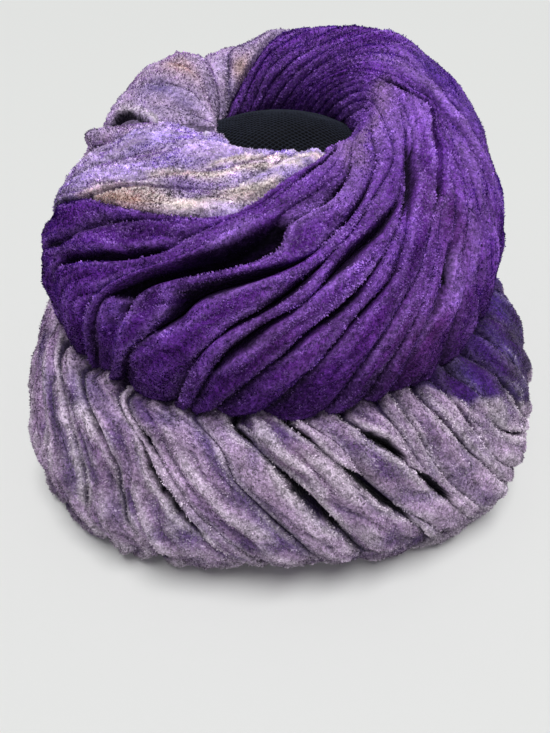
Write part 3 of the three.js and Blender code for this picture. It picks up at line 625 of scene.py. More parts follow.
def brim_dye(grid):
    """Greyish lilac, with the dark dyed stretch at the right end; painted shade in the creases, in the gaps,
    under the crown and along the foot, and a pale painted highlight on the gaps' rims.
    """
    cloudy = clouds(grid, 16, 9, 31)
    broad = wander(grid.azimuth / 14, grid.lift * 9, 33)
    colour = mixed(LILAC, LILAC_PALE, np.clip(0.34 + 0.5 * cloudy + 0.2 * broad, 0, 1))
    # violet in random clouds, with more of it low in the folds as painted shade
    colour = mixed(colour, VIOLET, 0.55 * smoothstep(0.35, 0.8, -cloudy + 0.35 * (1 - grid.top)))
    colour = streaked(patched(colour, grid, BRIM_PATCHES), grid, BRIM_STREAKS)
    line_azimuth, line_lift = np.array(DARK_LINE).T
    edge = np.interp(wrapped(grid.azimuth), line_azimuth, line_lift, left=-1, right=-1)
    edge = edge + 0.006 * wander(grid.azimuth * 0.6, grid.lift * 40, 32)
    dark = mixed(PURPLE, VIOLET_BLUE, 0.4 + 0.4 * cloudy) * (0.75 + 0.3 * cloudy[..., None])
    colour = mixed(colour, dark, smoothstep(0.010, -0.010, grid.lift - edge))
    # pale painted highlight on the gaps' rims
    colour = mixed(colour, FROST_AND_HIGHLIGHT, 0.8 * grid.rim * paleness(colour))
    # painted shade down in the creases
    colour = mixed(colour, dimmed(VIOLET, 0.25), 0.9 * creased(grid, 2.4))
    # painted shade where the brim goes in under the crown and along its foot
    hidden = np.maximum(smoothstep(0.075, 0.03, grid.lift), smoothstep(0.30, 0.345, grid.lift))
    colour = mixed(colour, dimmed(VIOLET, 0.25), 0.85 * hidden * (1 - 0.4 * grid.top))
    # near-black painted shade down in the gaps
    return mixed(colour, PAINTED_SHADE_BLACK, smoothstep(0.08, 0.55, grid.gap))


# The lavender patch over the crest is a painted highlight; the red, blue and purple ones are dye tones.
CROWN_PATCHES = [
    Patch(30, 0.16, 14, 0.08, PURPLE_RED, 0.7), Patch(45, 0.28, 8, 0.06, PURPLE_RED, 0.6),
    Patch(0, 0.2, 12, 0.06, PURPLE_RED, 0.4), Patch(110, 0.40, 16, 0.05, VIOLET_BLUE, 0.7),
    Patch(95, 0.30, 14, 0.08, VIOLET_BLUE, 0.7), Patch(50, 0.45, 32, 0.045, LAVENDER_HIGHLIGHT, 0.7),
    Patch(180, 0.55, 60, 0.12, PURPLE, 0.5),
]
# The lavender streaks are painted highlights along the ridges, and the wide lilac one is a painted highlight
# along the crest.
CROWN_STREAKS = [
    Streak(LAVENDER_HIGHLIGHT, 0.55, 2.4, [(4, 0.343), (13, 0.357), (23.6, 0.373), (32.7, 0.401), (37, 0.4165)]),
    Streak(LAVENDER_HIGHLIGHT, 0.55, 2.0, [(38, 0.20), (42, 0.25)]),
    Streak(LAVENDER_HIGHLIGHT, 0.5, 1.8, [(46, 0.205), (48.6, 0.24), (53.6, 0.286)]),
    Streak(LAVENDER_HIGHLIGHT, 0.5, 1.8, [(58, 0.243), (63.6, 0.30), (70.5, 0.358)]),
    Streak(LAVENDER_HIGHLIGHT, 0.8, 2.0, [(71, 0.264), (76, 0.319), (82.7, 0.352), (90, 0.385), (101, 0.452),
                                (114.5, 0.493), (120, 0.502)]),
    Streak(LILAC, 0.8, 5.0, [(33, 0.42), (40, 0.45), (60, 0.48), (80, 0.50), (100, 0.52)]),
    Streak(LAVENDER_HIGHLIGHT, 0.6, 1.6, [(-15, 0.308), (-12, 0.325), (-8, 0.34)]),
]


def crown_dye(grid):
    """Deep purple, with painted highlights in brighter violet toward the right and back and on the crest,
    painted shade in the creases and near-black painted shade in the gaps.
    """
    # painted highlight: brighter toward the right and back, and on the crest
    painted_highlight = smoothstep(5, 80, wrapped(grid.azimuth)) * 0.4 + smoothstep(0.38, 0.5, grid.lift) * 0.3
    cloudy = clouds(grid, 14, 6, 41)
    colour = mixed(PURPLE, PURPLE_BRIGHT, np.clip(painted_highlight + 0.22 + 0.4 * cloudy, 0, 1))
    colour = streaked(patched(colour, grid, CROWN_PATCHES), grid, CROWN_STREAKS)
    # pale lavender painted highlight on the gaps' rims
    colour = mixed(colour, LAVENDER_HIGHLIGHT, 0.5 * grid.rim)
    # painted shade down in the creases
    colour = mixed(colour, dimmed(PURPLE, 0.1), 0.93 * creased(grid, 2.2))
    # near-black painted shade down in the gaps
    return mixed(colour, PAINTED_SHADE_BLACK, smoothstep(0.08, 0.55, grid.gap))


# The purple patch at -31 and the violet one at -26 are a painted shadow in a hollow.
FRONT_PATCHES = [
    Patch(-31, 0.37, 10, 0.014, PURPLE, 0.75), Patch(-26, 0.43, 5, 0.008, VIOLET, 0.5),
    Patch(-80, 0.36, 14, 0.03, BACK_LILAC, 0.5), Patch(-68, 0.40, 8, 0.02, VIOLET, 0.45),
    Patch(-44, 0.335, 12, 0.012, TAN, 0.6),
]
# The frost and cream streaks are painted highlights along the band's edge and its ridges; the tan one is dye.
FRONT_STREAKS = [
    Streak(FROST_AND_HIGHLIGHT, 0.9, 1.8, [(-80, 0.31), (-81, 0.34), (-86, 0.38), (-89, 0.40), (-93.5, 0.45), (-96, 0.52),
                             (-90, 0.57), (-84, 0.60), (-74, 0.68)]),
    Streak(CREAM_HIGHLIGHT, 0.9, 1.7, [(-27, 0.415), (-20, 0.43), (-10, 0.44), (0, 0.447), (20, 0.448), (27, 0.46)]),
    Streak(CREAM_HIGHLIGHT, 0.9, 1.6, [(-45, 0.375), (-38, 0.388), (-28, 0.392), (-22, 0.395), (-15, 0.415),
                             (-5, 0.425), (10, 0.43)]),
    Streak(CREAM_HIGHLIGHT, 0.95, 1.8, [(-57, 0.32), (-50, 0.345), (-43, 0.357), (-35, 0.352), (-27, 0.346),
                              (-20, 0.355), (-15, 0.375), (-5, 0.385), (0, 0.40)]),
    Streak(TAN, 0.6, 1.6, [(-60, 0.31), (-50, 0.335), (-40, 0.345)]),
]


def front_dye(grid):
    """Bluish lilac, with cream painted highlights along the ridges, tan along the lower edge, a painted
    shadow in a hollow and painted shade low in the folds.
    """
    cloudy = clouds(grid, 13, 7, 51)
    colour = mixed(BAND_LILAC, LILAC_PALE, np.clip(0.3 + 0.45 * cloudy, 0, 1))
    colour = mixed(colour, BACK_LILAC, smoothstep(0.44, 0.36, grid.lift) * 0.6)
    # pale painted highlight on the rims beside the creases
    colour = mixed(colour, FROST_AND_HIGHLIGHT, 0.5 * grid.rim)
    colour = streaked(patched(colour, grid, FRONT_PATCHES), grid, FRONT_STREAKS)
    # painted shade low in the folds
    return mixed(colour, dimmed(VIOLET, 0.8), (1 - grid.top) ** 1.6 * 0.6)


BACK_PATCHES = [
    Patch(228, 0.485, 5, 0.05, TAN, 0.65), Patch(196, 0.53, 5, 0.035, TAN, 0.6),
    Patch(242, 0.455, 5, 0.045, VIOLET_BLUE, 0.75), Patch(246, 0.515, 4, 0.03, VIOLET_BLUE, 0.5),
]
# The black streak is a painted slit of shade; the cream and frost ones are painted highlights along the
# edges.
BACK_STREAKS = [
    Streak(PAINTED_SHADE_BLACK, 0.95, 0.8, [(259, 0.447), (262.5, 0.458)]),
    Streak(VIOLET, 0.7, 2.0, [(199, 0.48), (202, 0.52), (206, 0.56), (210, 0.61)]),
    Streak(CREAM_HIGHLIGHT, 0.8, 1.6, [(263.6, 0.50), (273.6, 0.564), (284, 0.585)]),
    Streak(FROST_AND_HIGHLIGHT, 0.7, 1.4, [(248, 0.35), (253, 0.41), (262, 0.458), (272, 0.462), (280, 0.44)]),
]


def back_dye(grid):
    """Greyish lilac with tan and violet stretches, cream and pale painted highlights along its edges, a black
    painted slit of shade and painted shade low in the folds.
    """
    cloudy = clouds(grid, 12, 7, 52)
    colour = mixed(BACK_LILAC, LILAC_PALE, np.clip(0.35 + 0.45 * cloudy, 0, 1))
    colour = streaked(patched(colour, grid, BACK_PATCHES), grid, BACK_STREAKS)
    # painted shade low in the folds
    return mixed(colour, dimmed(VIOLET, 0.8), (1 - grid.top) ** 1.6 * 0.6)


# ---------- cloth of the two rolls and the two bands ----------
# points and colours as [row][column], nap and its painted highlight from 0 to 1, how thickly the pile stands
# where it shows, the way in which it is brushed, and 1 or -1 for the side that it stands on
Cloth = namedtuple("Cloth", "points colour nap shows lay turn")


def ridged(colour, height, dark, pale):
    """Cloth coloured by its finer creases: painted shade down in them and a pale painted highlight along
    their ridges.
    """
    ridge_highlight = 0.5 * smoothstep(0.5, 1.9, height) * paleness(colour)
    colour = mixed(colour, dark, 0.6 * smoothstep(0.2, -1.3, height))
    return mixed(colour, pale, ridge_highlight)


def creased(grid, reach):
    """1 down in a deep crease, 0 from a reach in mm beside it."""
    beside = np.minimum(grid.side, grid.width - grid.side)
    return smoothstep(reach, 0.15 * reach, beside - 0.05 * grid.width) * smoothstep(0.6, 3.5, grid.depth)


def nap_and_highlight_of(grid):
    """How far the pile stands up and how pale its painted highlight is: least in a gap, most where a fold
    turns into one.
    """
    return np.clip((0.15 + 0.4 * grid.top + 0.8 * grid.rim) * (1 - 0.9 * grid.gap), 0, 1)


def left_by_gaps(grid, in_creases):
    """Share of the pile that is left: hardly any in a gap, and less by in_creases down in a crease."""
    return (1 - 0.97 * smoothstep(0.05, 0.4, grid.gap)) * (1 - in_creases * creased(grid, 2.0))


def brushed(grid, seed):
    """The way in which the pile is brushed, as an angle from the way of the folds."""
    return 1.7 * clouds(grid, 15, 10, seed)


def folds_kept(grid):
    """Share of their depth that the crown's folds keep where they turn under into the hole."""
    hole = round_the_head(CROWN_SECTIONS, grid.azimuth)[3]
    thin = 1 - smoothstep(*THIN_LIP_HOLES, hole)
    return (1 - smoothstep(0.66, 0.76, grid.lift)) * (1 - thin * smoothstep(0.44, 0.56, grid.lift))


def over_crown(grid, out):
    """Points that stand out from the crown's form; over the cap they stay just inside its wall, so that no
    gap shows between them."""
    points = lie(crown_stations, grid.azimuth, grid.lift, out)
    radius = np.hypot(points[..., 0], points[..., 1])
    low = cap_height(radius) - CAP_OVERLAP
    points[..., 2] = np.where(radius < CAP_RADIUS, np.maximum(points[..., 2], low), points[..., 2])
    return points


def rows_over(*stretches):
    """Lifts of the rows of a ring; a stretch is its first lift, the one past its last, and how many."""
    return np.concatenate([np.linspace(*stretch, endpoint=False) for stretch in stretches])


def brim_cloth():
    rows = rows_over((0, 0.47, 98), (0.47, 1, 16))
    first = next_turn(BRIM_CREASES[0])
    around = BRIM_CREASES + creases_between(BRIM_CREASES[-1], first, 17) + [first]
    grid = fold_grid(brim_stations, around, BRIM_LIFTS, rows, spacing=1.25, seed=50,
                     slits=BRIM_SLITS, gathered=(0.10, 0.02))
    fade = smoothstep(-0.03, 0.03, grid.lift) - 0.75 * smoothstep(0.38, 0.47, grid.lift)
    fade = fade - 0.25 * smoothstep(0.5, 0.6, grid.lift)
    height = wrinkles(grid, seed=54, size=1.2)
    right = np.exp(-((wrapped(grid.azimuth - 62) / 20) ** 4))
    out = height - grid.depth - BRIM_INSET + BRIM_BULGE * right
    points = lie(brim_stations, grid.azimuth, grid.lift, out * fade)
    points[..., 2] = np.maximum(points[..., 2], 0)
    shows = smoothstep(-0.01, 0.01, grid.lift) * (1 - smoothstep(0.42, 0.45, grid.lift))
    # painted shade and highlight of the finer creases
    colour = ridged(brim_dye(grid), height, dimmed(VIOLET, 0.7), FROST_AND_HIGHLIGHT)
    nap = nap_and_highlight_of(grid) * paleness(colour)
    return Cloth(points, colour, nap, shows * left_by_gaps(grid, 0.8), brushed(grid, 57), -1)


def crown_cloth():
    rows = rows_over((0, 0.7, 106), (0.7, 1, 10))
    right_back, back, edge = CROWN_CREASES[-3:]
    folds = CROWN_CREASES[:-2] + creases_between(right_back, back, 1) + [back]
    folds += creases_between(back, edge, 3) + [edge]
    first = next_turn(folds[0])
    under = [crease._replace(deep=4) for crease in creases_between(edge, first, 5)]
    grid = fold_grid(crown_stations, folds + under + [first], CROWN_LIFTS, rows, spacing=1.15, seed=60,
                     slits=CROWN_SLITS, hollows=CROWN_HOLLOWS, gathered=(0.20, 0.09))
    bare = grid.fold < len(folds) - 1
    height = wrinkles(grid, seed=64, size=1.1)
    shoulder = SHOULDER * spot(grid, 128, 0.44, 26, 0.10)
    out = np.where(bare, height - grid.depth + shoulder, -SUNK) * folds_kept(grid)
    points = over_crown(grid, out)
    shows = bare * (1 - smoothstep(0.70, 0.74, grid.lift)) * left_by_gaps(grid, 0.85)
    # painted shade and highlight of the finer creases
    colour = ridged(crown_dye(grid), height, dimmed(PURPLE, 0.35), VIOLET_FROST_AND_HIGHLIGHT)
    # painted shade darkening the crown towards its foot, under its overhang
    colour = mixed(colour, PAINTED_SHADE_BLACK, smoothstep(0.17, 0.09, grid.lift) * (0.85 - 0.45 * grid.top))
    # under the bands the crown's cloth is dim pale lilac, painted shade at the bands' seams
    colour = mixed(colour, dimmed(BACK_LILAC, 0.3), ~bare)
    return Cloth(points, colour, nap_and_highlight_of(grid), shows, brushed(grid, 67), 1)


def band_grid(creases, rows, seed):
    return fold_grid(crown_stations, creases, CROWN_LIFTS, rows, spacing=1.15, seed=seed, ring=False)


def band_out(grid, seed):
    """How far a band's face stands out: its folds, and both side edges rolled under."""
    from_left = np.where(grid.fold == 0, grid.side, 99)
    from_right = np.where(grid.fold == grid.fold.max(), grid.width - grid.side, 99)
    inward = smoothstep(0, 5, np.minimum(from_left, from_right))
    face = BAND_LIFT + wrinkles(grid, seed, 0.7) - 0.8 * grid.depth
    return np.where(inward < 1, np.maximum(face, -SUNK), face) * inward - (SUNK - 0.6) * (1 - inward)


def front_cloth():
    rows = np.linspace(0.24, 0.665, 76)
    grid = band_grid(FRONT_BAND_CREASES, rows, 70)
    plump = spot(grid, -76, 0.37, 22, 0.06) * grid.top**0.3
    points = over_crown(grid, band_out(grid, 74) + plump)
    colour = front_dye(grid)
    nap = nap_and_highlight_of(grid) * paleness(colour)
    return Cloth(points, colour, nap, np.ones_like(grid.top), brushed(grid, 77), 1)


def off_pocket(grid):
    """How far each point is from the middle of the pocket under the back band's arch: 1 on its rim."""
    middle = 262.7 + 110 * (grid.lift - POCKET_LIFT)
    return np.hypot((grid.azimuth - middle) / 10, (grid.lift - POCKET_LIFT) / 0.055)


def back_cloth():
    rows = np.linspace(0.03, 0.665, 98)
    grid = band_grid(BACK_BAND_CREASES, rows, 80)
    hollow = 1 - smoothstep(0.7, 1.0, off_pocket(grid))
    dark = 1 - smoothstep(0.98, 1.12, off_pocket(grid))
    out = band_out(grid, 84) - POCKET_DEEP * hollow - 4 * spot(grid, 262, 0.38, 12, 0.06)
    points = over_crown(grid, out)
    # near-black painted shade in the pocket under the arch, violet towards its far side
    shade = mixed(PAINTED_SHADE_BLACK, VIOLET, 0.6 * smoothstep(266, 276, grid.azimuth))
    colour = mixed(back_dye(grid), shade, dark)
    return Cloth(points, colour, nap_and_highlight_of(grid) * (1 - dark), 1 - 0.97 * dark, brushed(grid, 87), 1)


def rolled_end_cloth():
    """The scroll of cloth that pokes out between the bands, with a blunt rounded tip."""
    low, high = (np.array(corner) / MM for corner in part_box("tucked_end"))
    along = np.linspace(0, 1, 46)[:, None]
    turn = np.linspace(0, 1, 74)[None, :]
    angle = 2 * math.pi * END_TURNS * turn + 0.9
    blunt = np.sqrt(np.clip(1 - (1 - np.clip(along / 0.14, 0, 1)) ** 2, 0.1, 1))
    spread = (0.4 + 0.6 * turn) * blunt * (1 + 0.07 * wander(along * 5, turn * 6, 90))
    centre, half = (low + high) / 2, (high - low) / 2 - CLOTH_THICKNESS / 4
    x = low[0] + END_INSET + (high[0] - low[0]) * along + 0 * turn
    slope = (x - centre[0]) * math.tan(math.radians(4))
    y = centre[1] + 0.85 * half[1] * spread * np.cos(angle)
    z = centre[2] - END_DROP + slope + 0.78 * half[2] * spread * np.sin(angle)
    points = np.stack([x, y, z], -1)
    cloudy = wander(along * 6, turn * 9, 91)
    colour = mixed(BACK_LILAC, LILAC_PALE, np.clip(0.4 + 0.4 * cloudy, 0, 1))
    # nap and painted highlight grow towards the outer turns
    wear_and_highlight = np.clip(turn * 1.4 - 0.4, 0, 1) + 0 * along
    outside = smoothstep(0.35, 0.42, turn) + 0 * along
    return Cloth(points, colour, wear_and_highlight, outside, wander(along * 4, turn * 5, 92), 1)


# ---------- the sewn pieces ----------
def closed(values):
    """The first row and column of a ring's values again at their far ends."""
    return np.pad(values, [(0, 1), (0, 1)] + [(0, 0)] * (values.ndim - 2), mode="wrap")


def closed_ring(cloth):
    return Cloth(*(closed(values) for values in cloth[:-1]), cloth.turn)


def dress(obj, material):
    obj.data.materials.clear()
    obj.data.materials.append(material)


def finished(obj, material):
    """Gives a piece its only material and its body."""
    dress(obj, material)
    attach(obj, "root")


def made_of(name, cloth, plush):
    """The sheet of a cloth, with its dye, painted shade and highlights, nap and finish."""
    obj = sheet_from_grid(name, cloth.points)
    write_dye(obj.data, cloth.colour.reshape(-1, 3), cloth.nap.ravel())
    finished(obj, plush.ground)
    return obj


def padded_roll(name, node, cloth, plush):
    """A velour roll: the sheet bent round the head and round its own section, joined along its edges."""
    obj = made_of(name, cloth, plush)
    outwards(obj)
    smooth(obj)
    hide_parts(node)


def cloth_band(name, node, cloth, plush):
    """A pale velour sheet of real thickness, gathered or rolled up over the crown."""
    obj = made_of(name, cloth, plush)
    outwards(obj, joined=False)
    apply_modifier(obj, "SOLIDIFY", thickness=CLOTH_THICKNESS * MM, offset=-1)
    smooth(obj)
    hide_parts(node)


# ---------- pile ----------
def at_cells(values, i, j, u, v):
    """Values of a grid at places inside its cells, u along the row and v along the column."""
    near = values[i, j] * (1 - u) + values[i, j + 1] * u
    far = values[i + 1, j] * (1 - u) + values[i + 1, j + 1] * u
    return near * (1 - v) + far * v


def tufts_on(cloth, plush, count, length, seed):
    """Corners, colours and normals of loose tufts of pile, slivers with painted shade at their root and worn
    tips with a painted highlight.

    Half of them are pointed, and half splayed at the tip. A tuft is lit as the cloth under it is, so that the
    folds still show through the pile."""
    rng = np.random.default_rng(seed)
    across = cloth.points[:-1, 1:] - cloth.points[:-1, :-1]
    along = cloth.points[1:, :-1] - cloth.points[:-1, :-1]
    face = np.cross(across, along) * cloth.turn
    area = np.linalg.norm(face, axis=-1)
    share = area * cloth.shows[:-1, :-1]
    cells = rng.choice(area.size, count, p=(share / share.sum()).ravel())
    i, j = np.unravel_index(cells, area.shape)
    u, v = rng.random((2, count, 1))
    root = at_cells(cloth.points, i, j, u, v)
    colour = at_cells(cloth.colour, i, j, u, v)
    nap = at_cells(cloth.nap[..., None], i, j, u, v)
    clump = rng.random(area.shape)[i, j, None]
    lay = cloth.lay[i, j, None] + rng.normal(0, 0.4, (count, 1)) + 1.5 * (clump - 0.5)
    normal, forward = unit(face[i, j]), unit(along[i, j])
    beside = np.cross(normal, forward)
    towards = forward * np.cos(lay) + beside * np.sin(lay)
    lean = np.radians(rng.uniform(38, 74, (count, 1)))
    stem = normal * np.cos(lean) + towards * np.sin(lean)
    flat = unit(np.cross(stem, normal))
    roll = rng.normal(0, 0.7, (count, 1))
    wide = flat * np.cos(roll) + np.cross(stem, flat) * np.sin(roll)
    wide = wide * TUFT_WIDTH * rng.uniform(0.35, 0.65, (count, 1))
    long = length * rng.uniform(0.8, 1.2, (count, 1)) * (0.35 + 0.45 * nap + 0.5 * clump)
    low, high = root - 0.35 * normal, root + stem * long
    splayed = rng.random((count, 1)) < 0.5
    corners = np.stack([np.where(splayed, low, low - wide),
                        np.where(splayed, high + wide, low + wide),
                        np.where(splayed, high - wide, high)], 1)
    own = unit(np.cross(corners[:, 1] - corners[:, 0], corners[:, 2] - corners[:, 0]))
    inward = (own * normal).sum(-1) < 0
    corners[inward] = corners[inward][:, [0, 2, 1]]
    lit = unit(normal + 0.35 * own * np.where(inward, -1, 1)[:, None])
    wear_and_highlight = np.clip(rng.normal(0.1, 0.25, (count, 1)) + 0.8 * clump, 0, 1) * nap * plush.most_worn
    # tips paler where the nap's painted highlight is high, and frosted by wear and that highlight
    tip = colour * (0.55 + 0.35 * nap + 1.2 * plush.most_worn * (clump - 0.4))
    tip = mixed(tip, plush.frost, wear_and_highlight[:, 0])
    # painted shade down at the roots
    base = 3 * plush.root_shade * colour**1.8
    shades = np.stack([base, np.where(splayed, tip, base), tip], 1)
    shades[inward] = shades[inward][:, [0, 2, 1]]
    return corners.reshape(-1, 3), shades.reshape(-1, 3), np.repeat(lit, 3, 0)


def pile(name, plush, tufts):
    """One mesh of loose slivers, each with its own small place on the map."""
    corners, shades, lit = (np.concatenate(parts) for parts in zip(*tufts))
    count = len(corners) // 3
    mesh = bpy.data.meshes.new(name)
    mesh.vertices.add(3 * count)
    mesh.vertices.foreach_set("co", (corners * MM).astype(np.float32).ravel())
    mesh.loops.add(3 * count)
    mesh.loops.foreach_set("vertex_index", np.arange(3 * count, dtype=np.int32))
    mesh.polygons.add(count)
    mesh.polygons.foreach_set("loop_start", np.arange(0, 3 * count, 3, dtype=np.int32))
    mesh.update(calc_edges=True)
    side = math.ceil(math.sqrt(count))
    cell = np.stack(np.divmod(np.arange(count), side), -1)[:, None]
    places = (cell + np.array([(0.1, 0.1), (0.9, 0.1), (0.5, 0.9)])) / side
    mesh.uv_layers.new(name="OFBake").data.foreach_set("uv", places.astype(np.float32).ravel())
    write_dye(mesh, shades, np.ones(3 * count))
    mesh.polygons.foreach_set("use_smooth", np.ones(count, bool))
    mesh.normals_split_custom_set(lit.tolist())
    finished(added(name, mesh), plush.standing)


# ---------- net ----------
def cap_net():
    """The fine black net over the opening: square cells laid cornerwise over the cap's dome."""
    deselect()
    side = 2 * NET_REACH * MM
    bpy.ops.mesh.primitive_grid_add(x_subdivisions=NET_CELLS, y_subdivisions=NET_CELLS, size=side)
    obj = bpy.context.object
    obj.name = "cap_net"
    obj.data.uv_layers[0].name = "OFBake"
    flat = np.array([vertex.co for vertex in obj.data.vertices]) / MM
    angle = math.radians(45)
    x = flat[:, 0] * math.cos(angle) - flat[:, 1] * math.sin(angle)
    y = flat[:, 0] * math.sin(angle) + flat[:, 1] * math.cos(angle)
    x, y = x + 0.5 * wander(x / 15, y / 15, 95), y + 0.5 * wander(x / 15, y / 15, 96)
    x, y = x + NET_MIDDLE[0], y + NET_MIDDLE[1]
    z = cap_height(np.hypot(x, y)) + 0.9 + 0.5 * wander(x / 12, y / 12, 97)
    obj.data.vertices.foreach_set("co", (np.stack([x, y, z], -1) * MM).astype(np.float32).ravel())
    trim_to_opening(obj)
    apply_modifier(obj, "WIREFRAME", thickness=NET_THREAD * MM, use_even_offset=False)
    smooth(obj)
    finished(obj, fabric("net_thread", (0.021, 0.025, 0.040), 0.6))


def trim_to_opening(obj):
    """Cuts away the net that lies under the crown roll."""
    mesh = bmesh.new()
    mesh.from_mesh(obj.data)
    hidden = []
    for face in mesh.faces:
        middle = face.calc_center_median() / MM
        azimuth = math.degrees(math.atan2(middle.x, -middle.y))
        hole = float(round_the_head(CROWN_SECTIONS, np.array([azimuth]))[3][0])
        if math.hypot(middle.x, middle.y) > hole + 6:
            hidden.append(face)
    bmesh.ops.delete(mesh, geom=hidden, context="FACES")
    mesh.to_mesh(obj.data)
    mesh.free()


# ---------- finishes ----------
def shader_node(tree, kind, inputs=(), **settings):
    """A new node with its settings; inputs gives sockets a value, or the output that feeds them."""
    made = tree.nodes.new("ShaderNode" + kind)
    for key, value in settings.items():
        setattr(made, key, value)
    for key, value in dict(inputs).items():
        if isinstance(value, bpy.types.NodeSocket):
            tree.links.new(value, made.inputs[key])
        else:
            made.inputs[key].default_value = value
    return made


def place_on(tree):
    return shader_node(tree, "TexCoord").outputs["Object"]


def noise(tree, place, scale, detail, roughness=0.5):
    inputs = {"Vector": place, "Scale": scale, "Detail": detail, "Roughness": roughness}
    return shader_node(tree, "TexNoise", inputs).outputs["Fac"]


def ranged(tree, value, source, target):
    """Value with its range source stretched to the range target."""
    names = "Value", "From Min", "From Max", "To Min", "To Max"
    return shader_node(tree, "MapRange", zip(names, (value, *source, *target))).outputs["Result"]


def product(tree, a, b):
    return shader_node(tree, "Math", {0: a, 1: b}, operation="MULTIPLY").outputs[0]


def scaled(tree, colour, by):
    return shader_node(tree, "VectorMath", {0: colour, "Scale": by}, operation="SCALE").outputs["Vector"]


def attribute(tree, name, output):
    return shader_node(tree, "Attribute", attribute_name=name).outputs[output]


def crushed_pile():
    """Crushed plush: the dye broken into brushed patches and mottled tufts, with frosted tips, worn and a
    painted highlight, where the nap is high.
    """
    group = bpy.data.node_groups.new("crushed_pile", "ShaderNodeTree")
    grey = (0.8, 0.8, 0.8, 1)
    for name, kind, value in (
        ("Dye", "Color", grey), ("Nap", "Float", 1.0), ("Frost", "Color", grey),
        ("Frosting_and_highlight", "Float", 0.3), ("Patches", "Float", 90.0), ("Tufts", "Float", 520.0),
    ):
        made = group.interface.new_socket(name, in_out="INPUT", socket_type="NodeSocket" + kind)
        made.default_value = value
    for name, kind in (("Colour", "Color"), ("Height", "Float")):
        group.interface.new_socket(name, in_out="OUTPUT", socket_type="NodeSocket" + kind)
    given = group.nodes.new("NodeGroupInput").outputs
    result = group.nodes.new("NodeGroupOutput").inputs
    place = place_on(group)
    patches = noise(group, place, given["Patches"], 3, 0.6)
    tufts = noise(group, place, given["Tufts"], 2, 0.7)
    shade = ranged(group, patches, (0.3, 0.7), (0.62, 1.4))
    speck = ranged(group, tufts, (0.32, 0.62), (0.45, 1.3))
    coloured = scaled(group, given["Dye"], product(group, shade, speck))
    # frosted tips: worn pale and a painted highlight, as much as the nap says
    tips = product(group, ranged(group, tufts, (0.55, 0.72), (0.0, 1.0)), given["Nap"])
    amount = product(group, tips, given["Frosting_and_highlight"])
    frosted_and_highlighted = shader_node(group, "Mix", data_type="RGBA")
    for source, key in ((amount, "Factor"), (coloured, "A"), (given["Frost"], "B")):
        group.links.new(source, frosted_and_highlighted.inputs[key])
    group.links.new(frosted_and_highlighted.outputs["Result"], result["Colour"])
    group.links.new(tufts, result["Height"])
    return group


def new_material(name, roughness, specular):
    """A new material, its node tree and its shader."""
    material = bpy.data.materials.new(name)
    material.use_nodes = True
    shader = material.node_tree.nodes["Principled BSDF"]
    shader.inputs["Roughness"].default_value = roughness
    shader.inputs["Specular IOR Level"].default_value = specular
    return material, material.node_tree, shader


def raised(tree, shader, height, distance, strength=1.0):
    """Lets a height stand out from the surface by a distance in metres."""
    bump = shader_node(tree, "Bump", {"Height": height, "Distance": distance, "Strength": strength})
    tree.links.new(bump.outputs["Normal"], shader.inputs["Normal"])


# the cloth's ground with its shortest pile, and the longer tufts that stand on it
Layer = namedtuple("Layer", "roughness specular sheen sheen_roughness patches tufts")
GROUND = Layer(0.9, 0.12, 0.25, 0.35, 90, 620)
STANDING = Layer(0.65, 0.2, 0.2, 0.4, 75, 300)


def velour(name, layer, group, tint, frost, frosting_and_highlight):
    """One layer of crushed velour, dyed by the mesh; frosting pales it where the mesh's nap is high, worn
    tips with a painted highlight.
    """
    material, tree, shader = new_material(name, layer.roughness, layer.specular)
    shader.inputs["Sheen Weight"].default_value = layer.sheen
    shader.inputs["Sheen Roughness"].default_value = layer.sheen_roughness
    shader.inputs["Sheen Tint"].default_value = (*tint, 1)
    crushed = shader_node(tree, "Group", node_tree=group)
    crushed.inputs["Frost"].default_value = (*frost, 1)
    crushed.inputs["Frosting_and_highlight"].default_value = frosting_and_highlight
    crushed.inputs["Patches"].default_value = layer.patches
    crushed.inputs["Tufts"].default_value = layer.tufts
    tree.links.new(attribute(tree, "dyed", "Color"), crushed.inputs["Dye"])
    tree.links.new(crushed.outputs["Colour"], shader.inputs["Base Color"])
    if layer is GROUND:
        tree.links.new(attribute(tree, "nap", "Fac"), crushed.inputs["Nap"])
        raised(tree, shader, crushed.outputs["Height"], 0.001, 0.9)
    return material


Plush = namedtuple("Plush", "slot ground standing frost root_shade most_worn")


def plush_of(slot, pile_name, group, tint, frost, frosting_and_highlight, root_shade, most_worn):
    """Velour in both its layers; root_shade is how dark its tufts are at their roots, a painted shade down in
    the pile.
    """
    ground = velour(slot, GROUND, group, tint, frost, frosting_and_highlight)
    standing = velour(pile_name, STANDING, group, tint, frost, 0.0)
    return Plush(slot, ground, standing, frost, root_shade, most_worn)


def fabric(name, colour, roughness):
    """Matt black cloth with a fine uneven weave."""
    material, tree, shader = new_material(name, roughness, 0.15)
    weave = noise(tree, place_on(tree), 900, 2)
    coloured = scaled(tree, colour, ranged(tree, weave, (0.3, 0.7), (0.6, 1.5)))
    tree.links.new(coloured, shader.inputs["Base Color"])
    raised(tree, shader, weave, 0.0003)
    return material


# ---------- stage ----------
def floor():
    deselect()
    bpy.ops.mesh.primitive_plane_add(size=8)
    obj = bpy.context.object
    obj.name = "floor"
    board, _, shader = new_material("white_board", 0.7, 0.5)
    shader.inputs["Base Color"].default_value = (0.84, 0.85, 0.83, 1)
    dress(obj, board)


def camera():
    data = bpy.data.cameras.new("camera")
    data.lens = 28.0
    data.sensor_width = 36.0
    obj = added("camera", data)
    tilt = Matrix.Rotation(math.radians(46.7), 4, "X") @ Matrix.Rotation(math.radians(-1.9), 4, "Z")
    obj.matrix_world = Matrix.Translation((-0.003, -0.268, 0.268)) @ tilt
    bpy.context.scene.camera = obj


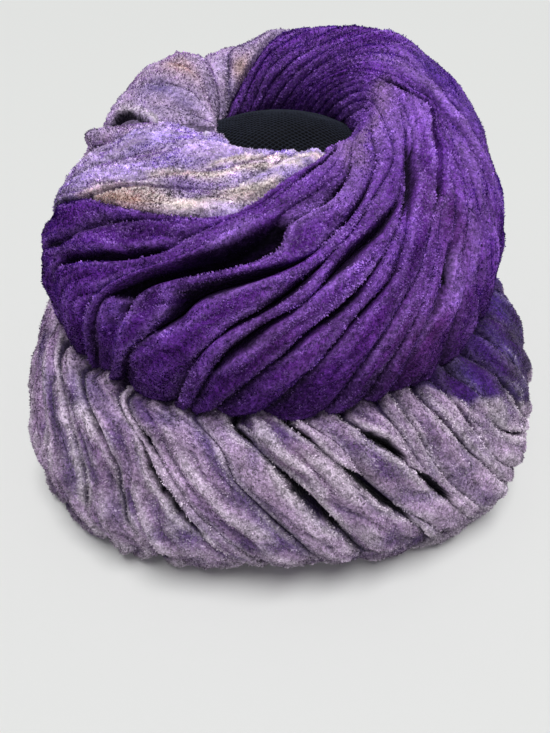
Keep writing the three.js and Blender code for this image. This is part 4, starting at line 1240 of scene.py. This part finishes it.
def soft_light(name, turn, power, spread):
    """A wide soft light from far above, turned by angles round X, Y and Z."""
    data = bpy.data.lights.new(name, "SUN")
    data.energy = power
    data.angle = math.radians(spread)
    added(name, data).rotation_euler = [math.radians(angle) for angle in turn]


def surroundings():
    world = bpy.data.worlds.new("light_box")
    bpy.context.scene.world = world
    world.use_nodes = True
    background = world.node_tree.nodes["Background"]
    background.inputs["Color"].default_value = (0.97, 0.98, 1, 1)
    background.inputs["Strength"].default_value = 0.24
    bpy.context.scene.view_settings.view_transform = "Standard"


camera()
surroundings()
soft_light("ceiling", (6, 5, 0), 2.25, 30)
floor()

crushed = crushed_pile()
lilac = plush_of("velour_lilac", "lilac_pile", crushed, (0.8, 0.75, 0.85), FROST_AND_HIGHLIGHT, 0.35, 0.2, 0.9)
purple = plush_of("velour_purple", "purple_pile", crushed, (0.45, 0.18, 0.85), VIOLET_FROST_AND_HIGHLIGHT, 0.3, 0.3, 0.8)
pale = plush_of("velour_pale_band", "pale_pile", crushed, (0.8, 0.75, 0.9), FROST_AND_HIGHLIGHT, 0.35, 0.5, 0.7)

brim, crown = closed_ring(brim_cloth()), closed_ring(crown_cloth())
front, back, end = front_cloth(), back_cloth(), rolled_end_cloth()
padded_roll("brim_cloth", "brim_roll", brim, lilac)
padded_roll("crown_cloth", "crown_roll", crown, purple)
cloth_band("front_band_cloth", "front_band", front, pale)
cloth_band("back_band_cloth", "back_band", back, pale)
cloth_band("rolled_end", "tucked_end", end, pale)
pile("brim_pile_short", lilac, [tufts_on(brim, lilac, 110000, 0.8, 201)])
pile("brim_pile_long", lilac, [tufts_on(brim, lilac, 110000, 1.15, 202)])
pile("crown_pile_short", purple, [tufts_on(crown, purple, 100000, 0.7, 203)])
pile("crown_pile_long", purple, [tufts_on(crown, purple, 100000, 1.0, 204)])
on_bands = (front, 34000, 1.1, 205), (back, 48000, 1.1, 206), (end, 4500, 1.0, 207)
pile("band_pile", pale, [tufts_on(cloth, pale, *given) for cloth, *given in on_bands])
dress(bpy.data.objects["net_cap"], fabric("black_net", (0.003, 0.003, 0.005), 0.85))
cap_net()
